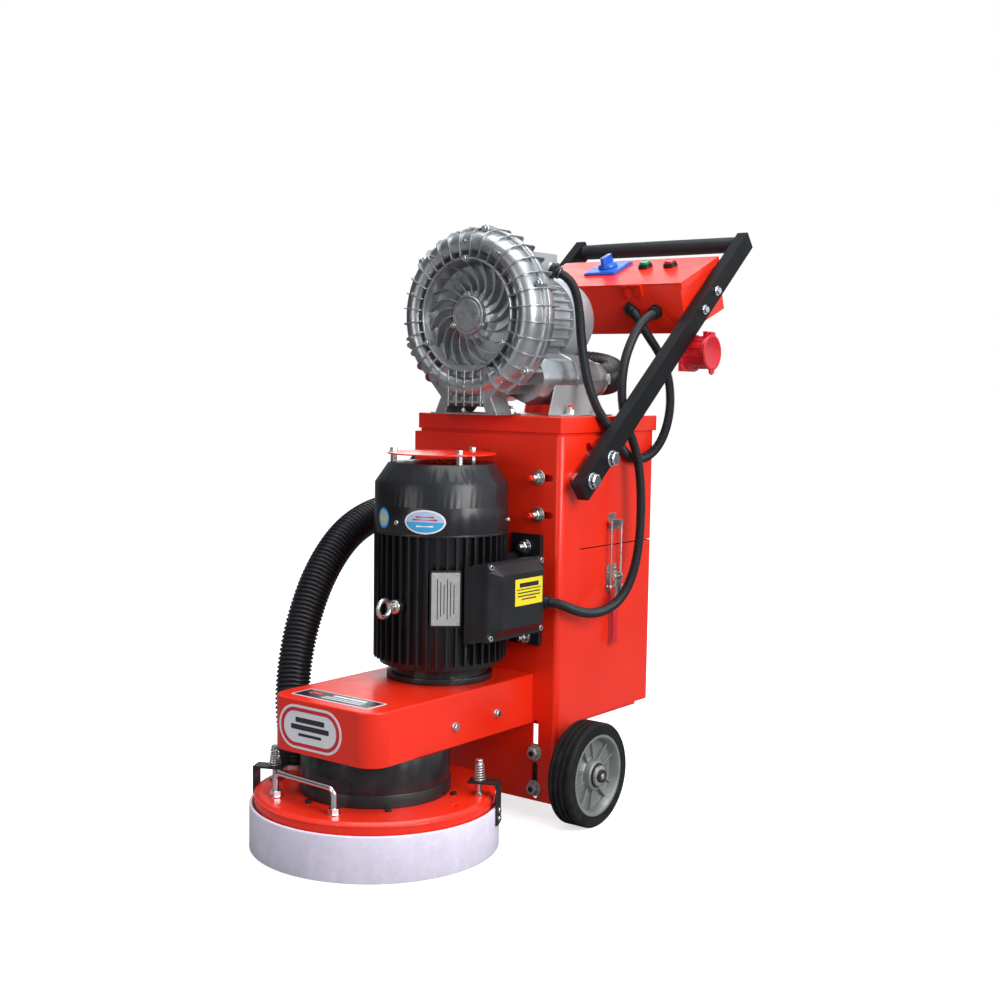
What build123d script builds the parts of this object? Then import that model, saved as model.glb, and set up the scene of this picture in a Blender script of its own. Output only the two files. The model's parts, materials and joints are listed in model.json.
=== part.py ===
"""Walk-behind single-disc concrete grinder with an on-board dust collector.

Units are millimetres. The origin is on the floor, on the axis of the grinding spindle.
+Z is up, -Y is the machine's front and +Y points back to the operator.
"""
import os
from math import asin, cos, pi, radians, sin, tan

from build123d import *

os.makedirs("parts", exist_ok=True)

# ---------------------------------------------------------------- driving dimensions
SHEET = 4.0              # thickness of the bent chassis sheet
BOX_SHEET = 2.0          # thickness of the dust collector's sheet
RUN_FIT = 0.05           # radial clearance of a running fit
GAP = 0.3                # clearance between faces that pass each other

COVER_R = 218.0          # red cover over the grinding disc
COVER_TOP = 101.5
SKIRT_R = 227.0          # floating dust skirt
SKIRT_WALL = 5.0
SKIRT_TOP = 82.0
DRUM_R = 136.0           # spindle housing
GUIDE_R = 193.0          # circle of the skirt's guide rods
GUIDE_ANGLES = (26.0, 206.0)
GUIDE_BASE = 124.0       # underside of the skirt brackets
SPRING_TOP = 158.0

ARM_HALF = 128.0         # belt housing
ARM_FRONT = -146.0
ARM_BOTTOM = 184.0
ARM_TOP = 280.0
ARM_WALL = 4.0

MOTOR_Y = 179.0          # drive motor axis
MOTOR_R = 127.0
MOTOR_CORE_R = 115.0
MOTOR_BASE = 310.0
MOTOR_END = 561.6
COWL_TOP = 688.0
SPINDLE_SHAFT_R = 17.45
MOTOR_SHAFT_R = 14.0
BEARING_R = 31.0
DRIVEN_R = 88.0          # driven pulley outside radius
DRIVE_R = 38.0           # drive pulley outside radius
BELT_LEVELS = (215.0, 235.0)
BELT_HEIGHT = 12.0
GROOVE_DEPTH = 10.0

PLATE_Y = 307.0          # front face of the chassis plate
PLATE_HALF = 185.0
PLATE_LOW = 31.0
PLATE_HIGH = 739.0
FLANGE_Y = 376.0         # rear edge of the side flanges
PIVOT_FLANGE_Y = 465.0   # rear edge of the widened part around the handle pivot

BOX_HALF = 172.0         # dust collector box
BOX_FRONT = 318.0
BOX_REAR = 655.0
BIN_LOW = 179.0
RAIL_TOP = 178.0         # rails that the bin slides on
RAIL_FRONT = 318.0
BIN_HIGH = 517.0
HOUSING_LOW = 519.0
LID_LOW = 745.0
LID_TOP = 776.0

WHEEL_R = 100.0
WHEEL_IN = 219.0
WHEEL_WIDTH = 50.0
RIM_R = 77.7
AXLE_Y = 330.0
AXLE_R = 12.5
AXLE_END = 279.0

PIVOT = (351.7, 656.7)   # handle pivot, as Y and Z
ARM_TILT = 39.78         # rise of the handle arms in degrees
ARM_START = (327.4, 635.9)
ARM_LENGTH = 818.6
ARM_IN = 202.0
ARM_WIDE = 25.0
ARM_DEEP = 40.0
LOCK_R = 76.7            # pivot to the locking bolt
LOCK_ANGLE = 31.7
GRIP = (946.0, 1149.5)

PANEL_TILT = 22.93       # slope of the control panel in degrees
PANEL_EDGE = (707.0, 1049.0)
PANEL_LONG = 169.4
CONTROL_HALF = 198.0
CONTROL_WALL = 2.0

BLOWER = (-12.2, 968.0)  # blower axis, as X and Z
SILENCER_Z = 848.0
SILENCER_R = 45.0
SILENCER_OFFSET = 87.0

LATCH_Y = 506.0
LATCH_PIVOT = (186.0, 455.0)
LATCH_THROW = 20.0
LATCH_DEAD = -95.0       # angle of the loop's pin about the lever's pivot when closed
LOOP_TOP = 565.0
LOOP_BAR_X = 177.3       # bar of the loop, over the keeper
LOOP_HALF = 18.0
WIRE_R = 2.25
KEEPER_OUT = 181.5

HOSE_R = 33.0            # both dust hoses
HOSE_PORT = (-180.0, -25.0, COVER_TOP)  # dust spigot on the cover
HOSE_END = (-228.0, 400.0, 576.0)
LID_PORT = (-84.0, 612.0, 796.0)
LID_PORT_OUT = (0, 0.2676, 0.9635)
SILENCER_END = 584.0
STUD_LEVELS = (660.0, 589.0)            # studs that hold the filter housing
CARRIAGE_X = 136.0       # clamp bolts of the axle plate
MOTOR_BACK = 297.0       # rear of the motor's feet
FILTER_DECK = 727.0
FILTER_Y = (404.0, 569.0)
FILTER_R = 66.0
EYE_LEVEL = 427.0        # eye bolt's height, direction and hole
EYE_DIRECTION = (0, -1, 0)
EYE_HOLE_AXIS = (1, 0, 0)
BOX_NECK = ((112.0, 112.0, 365.0), (130.0, 262.0, 505.0))  # neck of the terminal box
CAP_ANGLES = (90.0, 210.0, 330.0)  # standoffs of the rain cap
CAP_BOLT_R = 93.0
CAP_R = 103.0
LOCK_POINT = (PIVOT[0] + LOCK_R * cos(radians(LOCK_ANGLE)),
              PIVOT[1] + LOCK_R * sin(radians(LOCK_ANGLE)))
BUTTONS_X = (48.0, 111.0)
BUTTON_UP = 116.0
SWITCH = (-46.0, 111.0)
INLET = (752.0, 908.0)
INLET_LONG = 46.0
GLAND_LONG = 26.0
MOTOR_GLAND = (182.0, 281.0, 428.0)
MOTOR_GLAND_OUT = (0.97, 0.2431, 0.0)
BLOWER_GLAND = (80.0, 441.0, 1056.0)
BLOWER_GLAND_OUT = (0.8, 0.42, -0.4286)
CONTROL_GLANDS = (((84.2, 714.0, 990.5), (0.72, -0.5, -0.4813)),
                  ((134.6, 704.2, 987.8), (0.15, -0.945, -0.2905)))

SIDES = (-1, 1)


# ---------------------------------------------------------------- helpers
def save(piece, node):
    """Label a finished piece and write its STEP file."""
    piece.part.label = node
    export_step(piece.part, f"parts/{node}.step")


def block(low, high, mode=Mode.ADD):
    """Box between two opposite corners."""
    size = [abs(b - a) for a, b in zip(low, high)]
    corner = tuple(min(a, b) for a, b in zip(low, high))
    with Locations(corner):
        Box(*size, align=(Align.MIN, Align.MIN, Align.MIN), mode=mode)


def rod(start, direction, radius, length, mode=Mode.ADD):
    """Round bar that starts at a point and runs along a direction."""
    with Locations(Plane(origin=start, z_dir=direction)):
        Cylinder(radius, length, align=(Align.CENTER, Align.CENTER, Align.MIN), mode=mode)


def hexagon(start, direction, across, height, mode=Mode.ADD):
    """Hexagonal head or nut that stands on a point."""
    with BuildSketch(Plane(origin=start, z_dir=direction)) as outline:
        RegularPolygon(across / 2, 6, major_radius=False)
    extrude(outline.sketch, amount=height, mode=mode)


def outline_face(plane, points):
    """Closed straight-sided outline on a plane."""
    with BuildSketch(plane) as outline:
        with BuildLine():
            Polyline(*points, close=True)
        make_face()
    return outline.sketch


def turned(plane, points, mode=Mode.ADD):
    """Solid of revolution about the plane's own Y direction. Points are (radius, height)."""
    revolve(outline_face(plane, points), axis=Axis(plane.origin, plane.y_dir), mode=mode)


def upright(x, y):
    """Plane for turning about a vertical axis through (x, y)."""
    return Plane(origin=(x, y, 0), x_dir=(1, 0, 0), z_dir=(0, -1, 0))


def side_plane(x):
    """Side-view plane at x, with local X along +Y and local Y along +Z."""
    return Plane(origin=(x, 0, 0), x_dir=(0, 1, 0), z_dir=(1, 0, 0))


def slab(points, x_low, x_high, mode=Mode.ADD):
    """Side-view outline, given as (Y, Z) points, extruded between two x values."""
    extrude(outline_face(side_plane(x_low), points), amount=x_high - x_low, mode=mode)


def eye_point(distance):
    """Point on the eye bolt's axis at a distance from the motor's axis."""
    return (distance * EYE_DIRECTION[0], MOTOR_Y + distance * EYE_DIRECTION[1], EYE_LEVEL)


SPINDLE_PLANE = upright(0, 0)
MOTOR_PLANE = upright(0, MOTOR_Y)
BLOWER_PLANE = Plane(origin=(BLOWER[0], 0, BLOWER[1]), x_dir=(1, 0, 0), z_dir=(0, 0, 1))


# ---------------------------------------------------------------- grinding spindle
def spindle_shaft():
    with BuildPart() as piece:
        turned(SPINDLE_PLANE, [(0, 24), (SPINDLE_SHAFT_R, 24), (SPINDLE_SHAFT_R, 40), (24, 40), (24, 60),
                               (SPINDLE_SHAFT_R, 60), (SPINDLE_SHAFT_R, 262), (0, 262)])
        chamfer(piece.edges().group_by(Axis.Z)[-1], 1.5)
    save(piece, "spindle_shaft")


def tool_plate():
    """Disc that carries the grinding shoes, with four spare tapped holes for other tooling."""
    with BuildPart() as piece:
        turned(SPINDLE_PLANE, [(0, 14), (195, 14), (195, 24), (40, 24), (40, 40),
                               (SPINDLE_SHAFT_R, 40), (SPINDLE_SHAFT_R, 24), (0, 24)])
        with PolarLocations(55, 4, start_angle=45):
            Cylinder(5.25, 60, mode=Mode.SUBTRACT)
    save(piece, "tool_plate")


def grinding_shoes():
    """Six shoes, each with two diamond segments that touch the floor."""
    with BuildPart() as piece:
        with PolarLocations(164, 6):
            with Locations((0, 0, 5)):
                Box(48, 62, 9, align=(Align.CENTER, Align.CENTER, Align.MIN))
            with Locations((0, -16, 0), (0, 16, 0)):
                Box(40, 12, 5, align=(Align.CENTER, Align.CENTER, Align.MIN))
    save(piece, "grinding_shoes")


def pulley(node, plane, bore, outer, low, high):
    """Two-groove pulley on the given axis."""
    root = outer - GROOVE_DEPTH
    half = BELT_HEIGHT / 2 + 0.5
    points = [(bore, low), (outer, low)]
    for level in BELT_LEVELS:
        points += [(outer, level - half), (root, level - half), (root, level + half), (outer, level + half)]
    points += [(outer, high), (bore, high)]
    with BuildPart() as piece:
        turned(plane, points)
    save(piece, node)


def drive_belts():
    """Two belts that run a little clear of both pulleys' grooves."""
    slope = asin((DRIVEN_R - DRIVE_R) / MOTOR_Y)

    def loop_outline(level, offset):
        big = DRIVEN_R + offset
        small = DRIVE_R + offset
        with BuildSketch(Plane.XY.offset(level - BELT_HEIGHT / 2)) as outline:
            Circle(big)
            with Locations((0, MOTOR_Y)):
                Circle(small)
            with BuildLine():
                Polyline((-big * cos(slope), big * sin(slope)),
                         (-small * cos(slope), MOTOR_Y + small * sin(slope)),
                         (small * cos(slope), MOTOR_Y + small * sin(slope)),
                         (big * cos(slope), big * sin(slope)), close=True)
            make_face()
        return outline.sketch

    with BuildPart() as piece:
        for level in BELT_LEVELS:
            extrude(loop_outline(level, -0.6), amount=BELT_HEIGHT)
            extrude(loop_outline(level, 0.6 - GROOVE_DEPTH), amount=BELT_HEIGHT, mode=Mode.SUBTRACT)
    save(piece, "drive_belts")


# ---------------------------------------------------------------- grinding head
def spindle_housing():
    """Drum under the belt housing, open below, with the bearing tube in its middle."""
    with BuildPart() as piece:
        turned(SPINDLE_PLANE, [(BEARING_R, 62), (42, 62), (42, 178), (130, 178), (130, 102), (DRUM_R, 102),
                               (DRUM_R, ARM_BOTTOM), (20, ARM_BOTTOM), (20, 168), (BEARING_R, 168)])
    save(piece, "spindle_housing")


def shaft_bearings():
    """Two bearings on the spindle and two on the motor shaft."""
    spindle_bore = SPINDLE_SHAFT_R + RUN_FIT
    motor_bore = MOTOR_SHAFT_R + RUN_FIT
    with BuildPart() as piece:
        for low in (64, 150):
            turned(SPINDLE_PLANE, [(spindle_bore, low), (BEARING_R, low), (BEARING_R, low + 17),
                                   (spindle_bore, low + 17)])
        for low in (296, 548):
            turned(MOTOR_PLANE, [(motor_bore, low), (BEARING_R, low), (BEARING_R, low + 12),
                                 (motor_bore, low + 12)])
    save(piece, "shaft_bearings")


def cover_disc():
    """Cover over the grinding disc with a down-turned rim and the spigot of the dust hose."""
    with BuildPart() as piece:
        turned(SPINDLE_PLANE, [(42, 97.5), (COVER_R - 4, 97.5), (COVER_R - 4, 70), (COVER_R, 70),
                               (COVER_R, 96), (COVER_R - 8, COVER_TOP), (42, COVER_TOP)])
        rod(HOSE_PORT, (0, 0, 1), HOSE_R, 18.5)
        rod((HOSE_PORT[0], HOSE_PORT[1], 90), (0, 0, 1), 27, 40, mode=Mode.SUBTRACT)
        with Locations((182, 6, 99)):
            Cylinder(4.5, 20, mode=Mode.SUBTRACT)
    save(piece, "cover_disc")


def guide_rods():
    """Shouldered rods for the floating skirt, with a bolt head over each spring."""
    with BuildPart() as piece:
        with PolarLocations(GUIDE_R, 2, start_angle=GUIDE_ANGLES[0]):
            with Locations((0, 0, COVER_TOP)):
                Cylinder(5, SPRING_TOP - COVER_TOP, align=(Align.CENTER, Align.CENTER, Align.MIN))
                Cylinder(10, 4, align=(Align.CENTER, Align.CENTER, Align.MIN))
            with Locations((0, 0, SPRING_TOP)):
                Cylinder(8, 8, align=(Align.CENTER, Align.CENTER, Align.MIN))
    save(piece, "guide_rods")


def carry_handle():
    """Bent bar on the front of the cover with a collar and nut at each foot."""
    left = (-94.0, -158.0)
    right = (57.0, -167.0)
    with BuildPart() as piece:
        with BuildLine() as path:
            FilletPolyline((*left, COVER_TOP), (*left, 145), (*right, 145), (*right, COVER_TOP), radius=12)
        with BuildSketch(Plane(origin=(*left, COVER_TOP), z_dir=(0, 0, 1))):
            Circle(5)
        sweep()
        for foot in (left, right):
            rod((*foot, COVER_TOP), (0, 0, 1), 12, 2)
            hexagon((*foot, COVER_TOP + 2), (0, 0, 1), 19, 9)
    save(piece, "carry_handle")


def belt_housing():
    """Hollow arm that carries the motor and encloses the pulleys and belts."""
    def plan(half, front, rear, radius, level):
        with BuildSketch(Plane.XY.offset(level)) as outline:
            with BuildLine():
                FilletPolyline((-half, rear), (-half, front), (half, front), (half, rear), radius=radius)
                Line((half, rear), (-half, rear))
            make_face()
        return outline.sketch

    with BuildPart() as piece:
        extrude(plan(ARM_HALF, ARM_FRONT, PLATE_Y, 40, ARM_BOTTOM), amount=ARM_TOP - ARM_BOTTOM)
        fillet(piece.edges().group_by(Axis.Z)[-1].filter_by(lambda e: e.center().Y < PLATE_Y - 1), 3)
        inside = plan(ARM_HALF - ARM_WALL, ARM_FRONT + ARM_WALL, PLATE_Y - ARM_WALL, 36, ARM_BOTTOM + ARM_WALL)
        extrude(inside, amount=ARM_TOP - ARM_BOTTOM - 2 * ARM_WALL, mode=Mode.SUBTRACT)
        rod((0, 0, ARM_BOTTOM - 1), (0, 0, 1), 30, 10, mode=Mode.SUBTRACT)
        rod((0, MOTOR_Y, ARM_TOP - 10), (0, 0, 1), 60, 12, mode=Mode.SUBTRACT)
    save(piece, "belt_housing")


# ---------------------------------------------------------------- floating skirt
def skirt_ring():
    inner = SKIRT_R - SKIRT_WALL
    with BuildPart() as piece:
        turned(SPINDLE_PLANE, [(inner, 1), (SKIRT_R, 1), (SKIRT_R, SKIRT_TOP - 1.5),
                               (SKIRT_R - 1.5, SKIRT_TOP), (inner, SKIRT_TOP)])
    save(piece, "skirt_ring")


def skirt_brackets():
    """Angle brackets that slide on the guide rods, each with two screws into the skirt."""
    face = SKIRT_R + 0.2
    with BuildPart() as piece:
        with PolarLocations(0, 2, start_angle=GUIDE_ANGLES[0]):
            with Locations((175, 0, GUIDE_BASE)):
                Box(face + 4 - 175, 30, 4, align=(Align.MIN, Align.CENTER, Align.MIN))
            with Locations((face, 0, 50)):
                Box(4, 30, GUIDE_BASE - 50 + 2, align=(Align.MIN, Align.CENTER, Align.MIN))
            with Locations((GUIDE_R, 0, GUIDE_BASE)):
                Cylinder(5 + GAP, 30, mode=Mode.SUBTRACT)
            for height in (60, 75):
                with Locations(Plane(origin=(face + 4, 0, height), z_dir=(1, 0, 0))):
                    Cylinder(4.5, 3, align=(Align.CENTER, Align.CENTER, Align.MIN))
    save(piece, "skirt_brackets")


def skirt_springs():
    """Conical springs over the brackets, kept here as plain hollow cones."""
    low = GUIDE_BASE + 4
    with BuildPart() as piece:
        for angle in GUIDE_ANGLES:
            centre = (GUIDE_R * cos(radians(angle)), GUIDE_R * sin(radians(angle)))
            turned(upright(*centre), [(9.5, low), (12, low), (8.5, SPRING_TOP), (6, SPRING_TOP)])
    save(piece, "skirt_springs")


# ---------------------------------------------------------------- drive motor
def motor_body():
    """Finned stator housing with its bottom flange, rear feet and a boss for the eye bolt."""
    def ring(low, high, inner, outer):
        return [(inner, low), (outer, low), (outer, high), (inner, high)]

    with BuildPart() as piece:
        turned(MOTOR_PLANE, ring(ARM_TOP, 292, 20, 101))
        turned(MOTOR_PLANE, ring(292, MOTOR_BASE, 20, 92))
        turned(MOTOR_PLANE, ring(MOTOR_BASE, MOTOR_END, 20, MOTOR_CORE_R))
        fin_height = MOTOR_END - MOTOR_BASE - 14
        with Locations((0, MOTOR_Y, MOTOR_BASE + 10)):
            with PolarLocations((MOTOR_CORE_R + MOTOR_R) / 2 - 0.5, 44, start_angle=4.09):
                Box(MOTOR_R - MOTOR_CORE_R + 1, 3, fin_height, align=(Align.CENTER, Align.CENTER, Align.MIN))
        turned(MOTOR_PLANE, ring(MOTOR_END - 4, MOTOR_END, 20, MOTOR_R))
        for side in SIDES:
            block((side * 84, 236, 375), (side * 96, MOTOR_BACK, 515))
        block(*BOX_NECK, mode=Mode.SUBTRACT)
        rod(eye_point(0), EYE_DIRECTION, 14, MOTOR_R + 3)
        turned(MOTOR_PLANE, ring(312, 544, 0, 100), mode=Mode.SUBTRACT)
        turned(MOTOR_PLANE, ring(296, 312, 0, BEARING_R), mode=Mode.SUBTRACT)
        turned(MOTOR_PLANE, ring(544, 560, 0, BEARING_R), mode=Mode.SUBTRACT)
    save(piece, "motor_body")


def motor_stator():
    with BuildPart() as piece:
        turned(MOTOR_PLANE, [(62.5, 360), (100, 360), (100, 500), (94, 500), (94, 525), (66, 525),
                             (66, 500), (62.5, 500)])
        turned(MOTOR_PLANE, [(66, 335), (94, 335), (94, 360), (66, 360)])
    save(piece, "motor_stator")


def motor_rotor():
    """Shaft, rotor core and cooling fan in one balanced assembly."""
    shaft = MOTOR_SHAFT_R
    with BuildPart() as piece:
        turned(MOTOR_PLANE, [(0, 200), (shaft, 200), (shaft, 350), (61.7, 350), (61.7, 510), (shaft, 510),
                             (shaft, 590), (26, 590), (26, 604), (90, 604), (90, 607), (26, 607), (26, 625),
                             (0, 625)])
        with Locations((0, MOTOR_Y, 607)):
            with PolarLocations(57, 8):
                Box(64, 3, 30, align=(Align.CENTER, Align.CENTER, Align.MIN))
    save(piece, "motor_rotor")


def motor_cowl():
    """Sheet cowl over the fan, with a vented top."""
    wall = 2.0
    band = 611.0
    shoulder = 651.0
    with BuildPart() as piece:
        turned(MOTOR_PLANE, [(MOTOR_R - wall, MOTOR_END), (MOTOR_R, MOTOR_END), (MOTOR_R, band),
                             (MOTOR_R - 1, band), (MOTOR_R - 1, shoulder), (101, COWL_TOP), (0, COWL_TOP),
                             (0, COWL_TOP - wall), (100, COWL_TOP - wall),
                             (MOTOR_R - 1 - wall, shoulder - 1), (MOTOR_R - 1 - wall, band - wall),
                             (MOTOR_R - wall, band - wall)])
        with Locations((0, MOTOR_Y, COWL_TOP)):
            with PolarLocations(52, 16):
                Box(44, 7, 20, mode=Mode.SUBTRACT)
    save(piece, "motor_cowl")


def rain_cap():
    """Shallow disc over the cowl on three standoffs with bolts."""
    with BuildPart() as piece:
        turned(MOTOR_PLANE, [(0, 706), (CAP_R, 704), (CAP_R, 706.5), (0, 709)])
        for angle in CAP_ANGLES:
            x = CAP_BOLT_R * cos(radians(angle))
            y = MOTOR_Y + CAP_BOLT_R * sin(radians(angle))
            rod((x, y, COWL_TOP), (0, 0, 1), 6, 17.5)
            hexagon((x, y, 706.3), (0, 0, 1), 13, 6)
    save(piece, "rain_cap")


def lifting_eye():
    """Eye bolt on the motor: collar, neck and a flat ring."""
    base = MOTOR_R + 3
    plane = Plane(origin=eye_point(base + 30), z_dir=EYE_HOLE_AXIS)
    with BuildPart() as piece:
        rod(eye_point(base), EYE_DIRECTION, 13, 4)
        rod(eye_point(base), EYE_DIRECTION, 7, 16)
        with Locations(plane):
            Cylinder(20, 8)
            Cylinder(11, 20, mode=Mode.SUBTRACT)
    save(piece, "lifting_eye")


def terminal_box():
    """Box on the motor's right side with a bevelled cover and an angled cable gland at the back."""
    with BuildPart() as piece:
        block(*BOX_NECK)
        block((130, 110, 380), (165, 265, 510))
        block((165, 103, 373), (172, 272, 517))
        with BuildSketch(Plane(origin=(172, 187.5, 445), x_dir=(0, 1, 0), z_dir=(1, 0, 0))) as crown:
            Rectangle(160, 134)
            chamfer(crown.vertices(), 12)
        extrude(crown.sketch, amount=18, taper=45)
        for y, z in ((111, 381), (264, 381), (111, 509), (264, 509)):
            rod((172, y, z), (1, 0, 0), 5, 4)
        rod((152, 265, MOTOR_GLAND[2]), (0, 1, 0), 14, 26)
        direction = Vector(*MOTOR_GLAND_OUT)
        start = Vector(*MOTOR_GLAND) - direction * 30
        rod(start, direction, 12.5, 30)
    save(piece, "terminal_box")


def motor_bracket():
    """Two slotted plates that bolt the motor's feet to the chassis plate."""
    with BuildPart() as piece:
        for side in SIDES:
            block((side * 78, MOTOR_BACK, 338), (side * 147, PLATE_Y, 552))
            for height in (352, 527):
                hexagon((side * 112, MOTOR_BACK, height), (0, -1, 0), 19, 10)
    save(piece, "motor_bracket")


# ---------------------------------------------------------------- chassis
def chassis_frame():
    """Bent front plate with side flanges, bolt slots, handle pivot holes and the bin's rails."""
    def channel(half, front, rear, radius):
        with BuildSketch(Plane.XY.offset(PLATE_LOW)) as outline:
            with BuildLine():
                FilletPolyline((-half, rear), (-half, front), (half, front), (half, rear), radius=radius)
                Line((half, rear), (-half, rear))
            make_face()
        return outline.sketch

    height = PLATE_HIGH - PLATE_LOW
    with BuildPart() as piece:
        extrude(channel(PLATE_HALF, PLATE_Y, FLANGE_Y, 12), amount=height)
        extrude(channel(PLATE_HALF - SHEET, PLATE_Y + SHEET, FLANGE_Y + 1, 8), amount=height,
                mode=Mode.SUBTRACT)
        for side in SIDES:
            slab([(FLANGE_Y - 6, 596), (FLANGE_Y, 600), (PIVOT_FLANGE_Y, 640), (PIVOT_FLANGE_Y, PLATE_HIGH),
                  (FLANGE_Y - 6, PLATE_HIGH)],
                 min(side * PLATE_HALF, side * (PLATE_HALF - SHEET)),
                 max(side * PLATE_HALF, side * (PLATE_HALF - SHEET)))
            block((side * 140, RAIL_FRONT, RAIL_TOP - 6), (side * 166, 620, RAIL_TOP))
            block((side * 140, RAIL_FRONT, RAIL_TOP - 18), (side * 144, 450, RAIL_TOP - 6))
            block((side * 166, 345, RAIL_TOP - 6), (side * (PLATE_HALF - SHEET), 372, RAIL_TOP))
        with BuildSketch(Plane.XZ.offset(-PLATE_Y)) as slots:
            for side in SIDES:
                for level in STUD_LEVELS:
                    with Locations((side * 147.5, level)):
                        SlotOverall(40, 13)
                for level in (154, 71):
                    with Locations((side * CARRIAGE_X, level)):
                        SlotOverall(72, 13, rotation=90)
        extrude(slots.sketch, amount=-SHEET - 2, mode=Mode.SUBTRACT)
        with BuildSketch(side_plane(-PLATE_HALF - 1)) as cuts:
            with Locations(PIVOT):
                Circle(8 + RUN_FIT)
            with BuildLine():
                lock_path = CenterArc(PIVOT, LOCK_R, LOCK_ANGLE - 23, 44)
            SlotArc(lock_path, 17)
            with Locations((AXLE_Y, 122)):
                SlotOverall(46 + 2 * AXLE_R + 1.4, 2 * AXLE_R + 1.4, rotation=90)
        extrude(cuts.sketch, amount=2 * PLATE_HALF + 2, mode=Mode.SUBTRACT)
    save(piece, "chassis_frame")


def chassis_fasteners():
    """Capped studs that hold the filter housing to the plate, and the belt housing's side bolts."""
    with BuildPart() as piece:
        for side in SIDES:
            for level in STUD_LEVELS:
                rod((side * 134, BOX_FRONT, level), (0, -1, 0), 5, BOX_FRONT - PLATE_Y + 30)
                rod((side * 134, PLATE_Y, level), (0, -1, 0), 14, 2)
                hexagon((side * 134, PLATE_Y - 2, level), (0, -1, 0), 17, 8)
            for y, z in ((70, 220), (193, 223)):
                hexagon((side * ARM_HALF, y, z), (side, 0, 0), 13, 5.5)
    save(piece, "chassis_fasteners")


# ---------------------------------------------------------------- wheels
def wheel_carriage():
    """Slotted axle plate behind the chassis plate with its axle, bearing blocks and clamp bolts."""
    back = PLATE_Y + SHEET + GAP
    with BuildPart() as piece:
        block((-162, back, 42), (162, back + 4, 141))
        for side in SIDES:
            block((side * 146, back + 4, 80), (side * 168, 348, 120))
            rod((side * 188, AXLE_Y, WHEEL_R), (side, 0, 0), 17, WHEEL_IN - GAP - 188)
            rod((side * (WHEEL_IN + WHEEL_WIDTH + GAP), AXLE_Y, WHEEL_R), (side, 0, 0), 20, 4)
            for level in (126, 56):
                rod((side * CARRIAGE_X, back, level), (0, -1, 0), 5.5, SHEET + 2 * GAP + 14)
                rod((side * CARRIAGE_X, PLATE_Y - GAP, level), (0, -1, 0), 15, 2.5)
                hexagon((side * CARRIAGE_X, PLATE_Y - GAP - 2.5, level), (0, -1, 0), 19, 8)
        rod((-AXLE_END, AXLE_Y, WHEEL_R), (1, 0, 0), AXLE_R, 2 * AXLE_END)
    save(piece, "wheel_carriage")


def wheel(side, name):
    """Cast hub with five ribs on its web and a solid rubber tyre with three grooves."""
    start = WHEEL_IN if side > 0 else -WHEEL_IN - WHEEL_WIDTH
    plane = Plane(origin=(start, AXLE_Y, WHEEL_R), x_dir=(0, 0, 1), z_dir=(0, 1, 0))
    bore = AXLE_R + RUN_FIT
    middle = WHEEL_WIDTH / 2
    with BuildPart() as hub:
        turned(plane, [(bore, 0), (24, 0), (24, middle - 6), (RIM_R - 9, middle - 6), (RIM_R - 7, 0),
                       (RIM_R, 0), (RIM_R, WHEEL_WIDTH), (RIM_R - 7, WHEEL_WIDTH),
                       (RIM_R - 9, middle + 6), (24, middle + 6), (24, WHEEL_WIDTH), (bore, WHEEL_WIDTH)])
        with Locations(Plane(origin=(start + middle, AXLE_Y, WHEEL_R), z_dir=(1, 0, 0))):
            with PolarLocations(46, 5, start_angle=17):
                Box(48, 7, WHEEL_WIDTH - 12)
    save(hub, f"{name}_hub")
    points = [(RIM_R, 0), (WHEEL_R - 4, 0), (WHEEL_R, 4)]
    for groove in (13, 25, 37):
        points += [(WHEEL_R, groove - 2), (WHEEL_R - 3, groove - 2), (WHEEL_R - 3, groove + 2),
                   (WHEEL_R, groove + 2)]
    points += [(WHEEL_R, WHEEL_WIDTH - 4), (WHEEL_R - 4, WHEEL_WIDTH), (RIM_R, WHEEL_WIDTH)]
    with BuildPart() as tyre:
        turned(plane, points)
    save(tyre, f"{name}_tyre")


# ---------------------------------------------------------------- dust collector
def filter_housing():
    """Upper box: filter deck inside, latch keepers outside and the elbow for the dust hose."""
    wall = BOX_SHEET
    elbow_y = 440.0
    with BuildPart() as piece:
        block((-BOX_HALF, BOX_FRONT, HOUSING_LOW), (BOX_HALF, BOX_REAR, LID_LOW - GAP))
        block((-BOX_HALF + wall, BOX_FRONT + wall, HOUSING_LOW - 1),
              (BOX_HALF - wall, BOX_REAR - wall, LID_LOW), mode=Mode.SUBTRACT)
        block((-BOX_HALF + wall, BOX_FRONT + wall, FILTER_DECK - 3),
              (BOX_HALF - wall, BOX_REAR - wall, FILTER_DECK))
        for y in FILTER_Y:
            rod((0, y, FILTER_DECK - 10), (0, 0, 1), FILTER_R + 2, 20, mode=Mode.SUBTRACT)
        for side in SIDES:
            block((side * BOX_HALF, LATCH_Y - 13, 551), (side * KEEPER_OUT, LATCH_Y + 13, 562))
        rod((-BOX_HALF, elbow_y, HOSE_END[2]), (-1, 0, 0), HOSE_R, -HOSE_END[0] - BOX_HALF)
        with Locations((HOSE_END[0], elbow_y, HOSE_END[2])):
            Sphere(HOSE_R)
        rod((HOSE_END[0], elbow_y, HOSE_END[2]), (0, -1, 0), HOSE_R, elbow_y - HOSE_END[1])
        rod((-BOX_HALF + 5, elbow_y, HOSE_END[2]), (-1, 0, 0), HOSE_R - 4, -HOSE_END[0] - BOX_HALF + 5,
            mode=Mode.SUBTRACT)
        rod((HOSE_END[0], elbow_y, HOSE_END[2]), (0, -1, 0), HOSE_R - 4, 60, mode=Mode.SUBTRACT)
    save(piece, "filter_housing")


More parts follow.
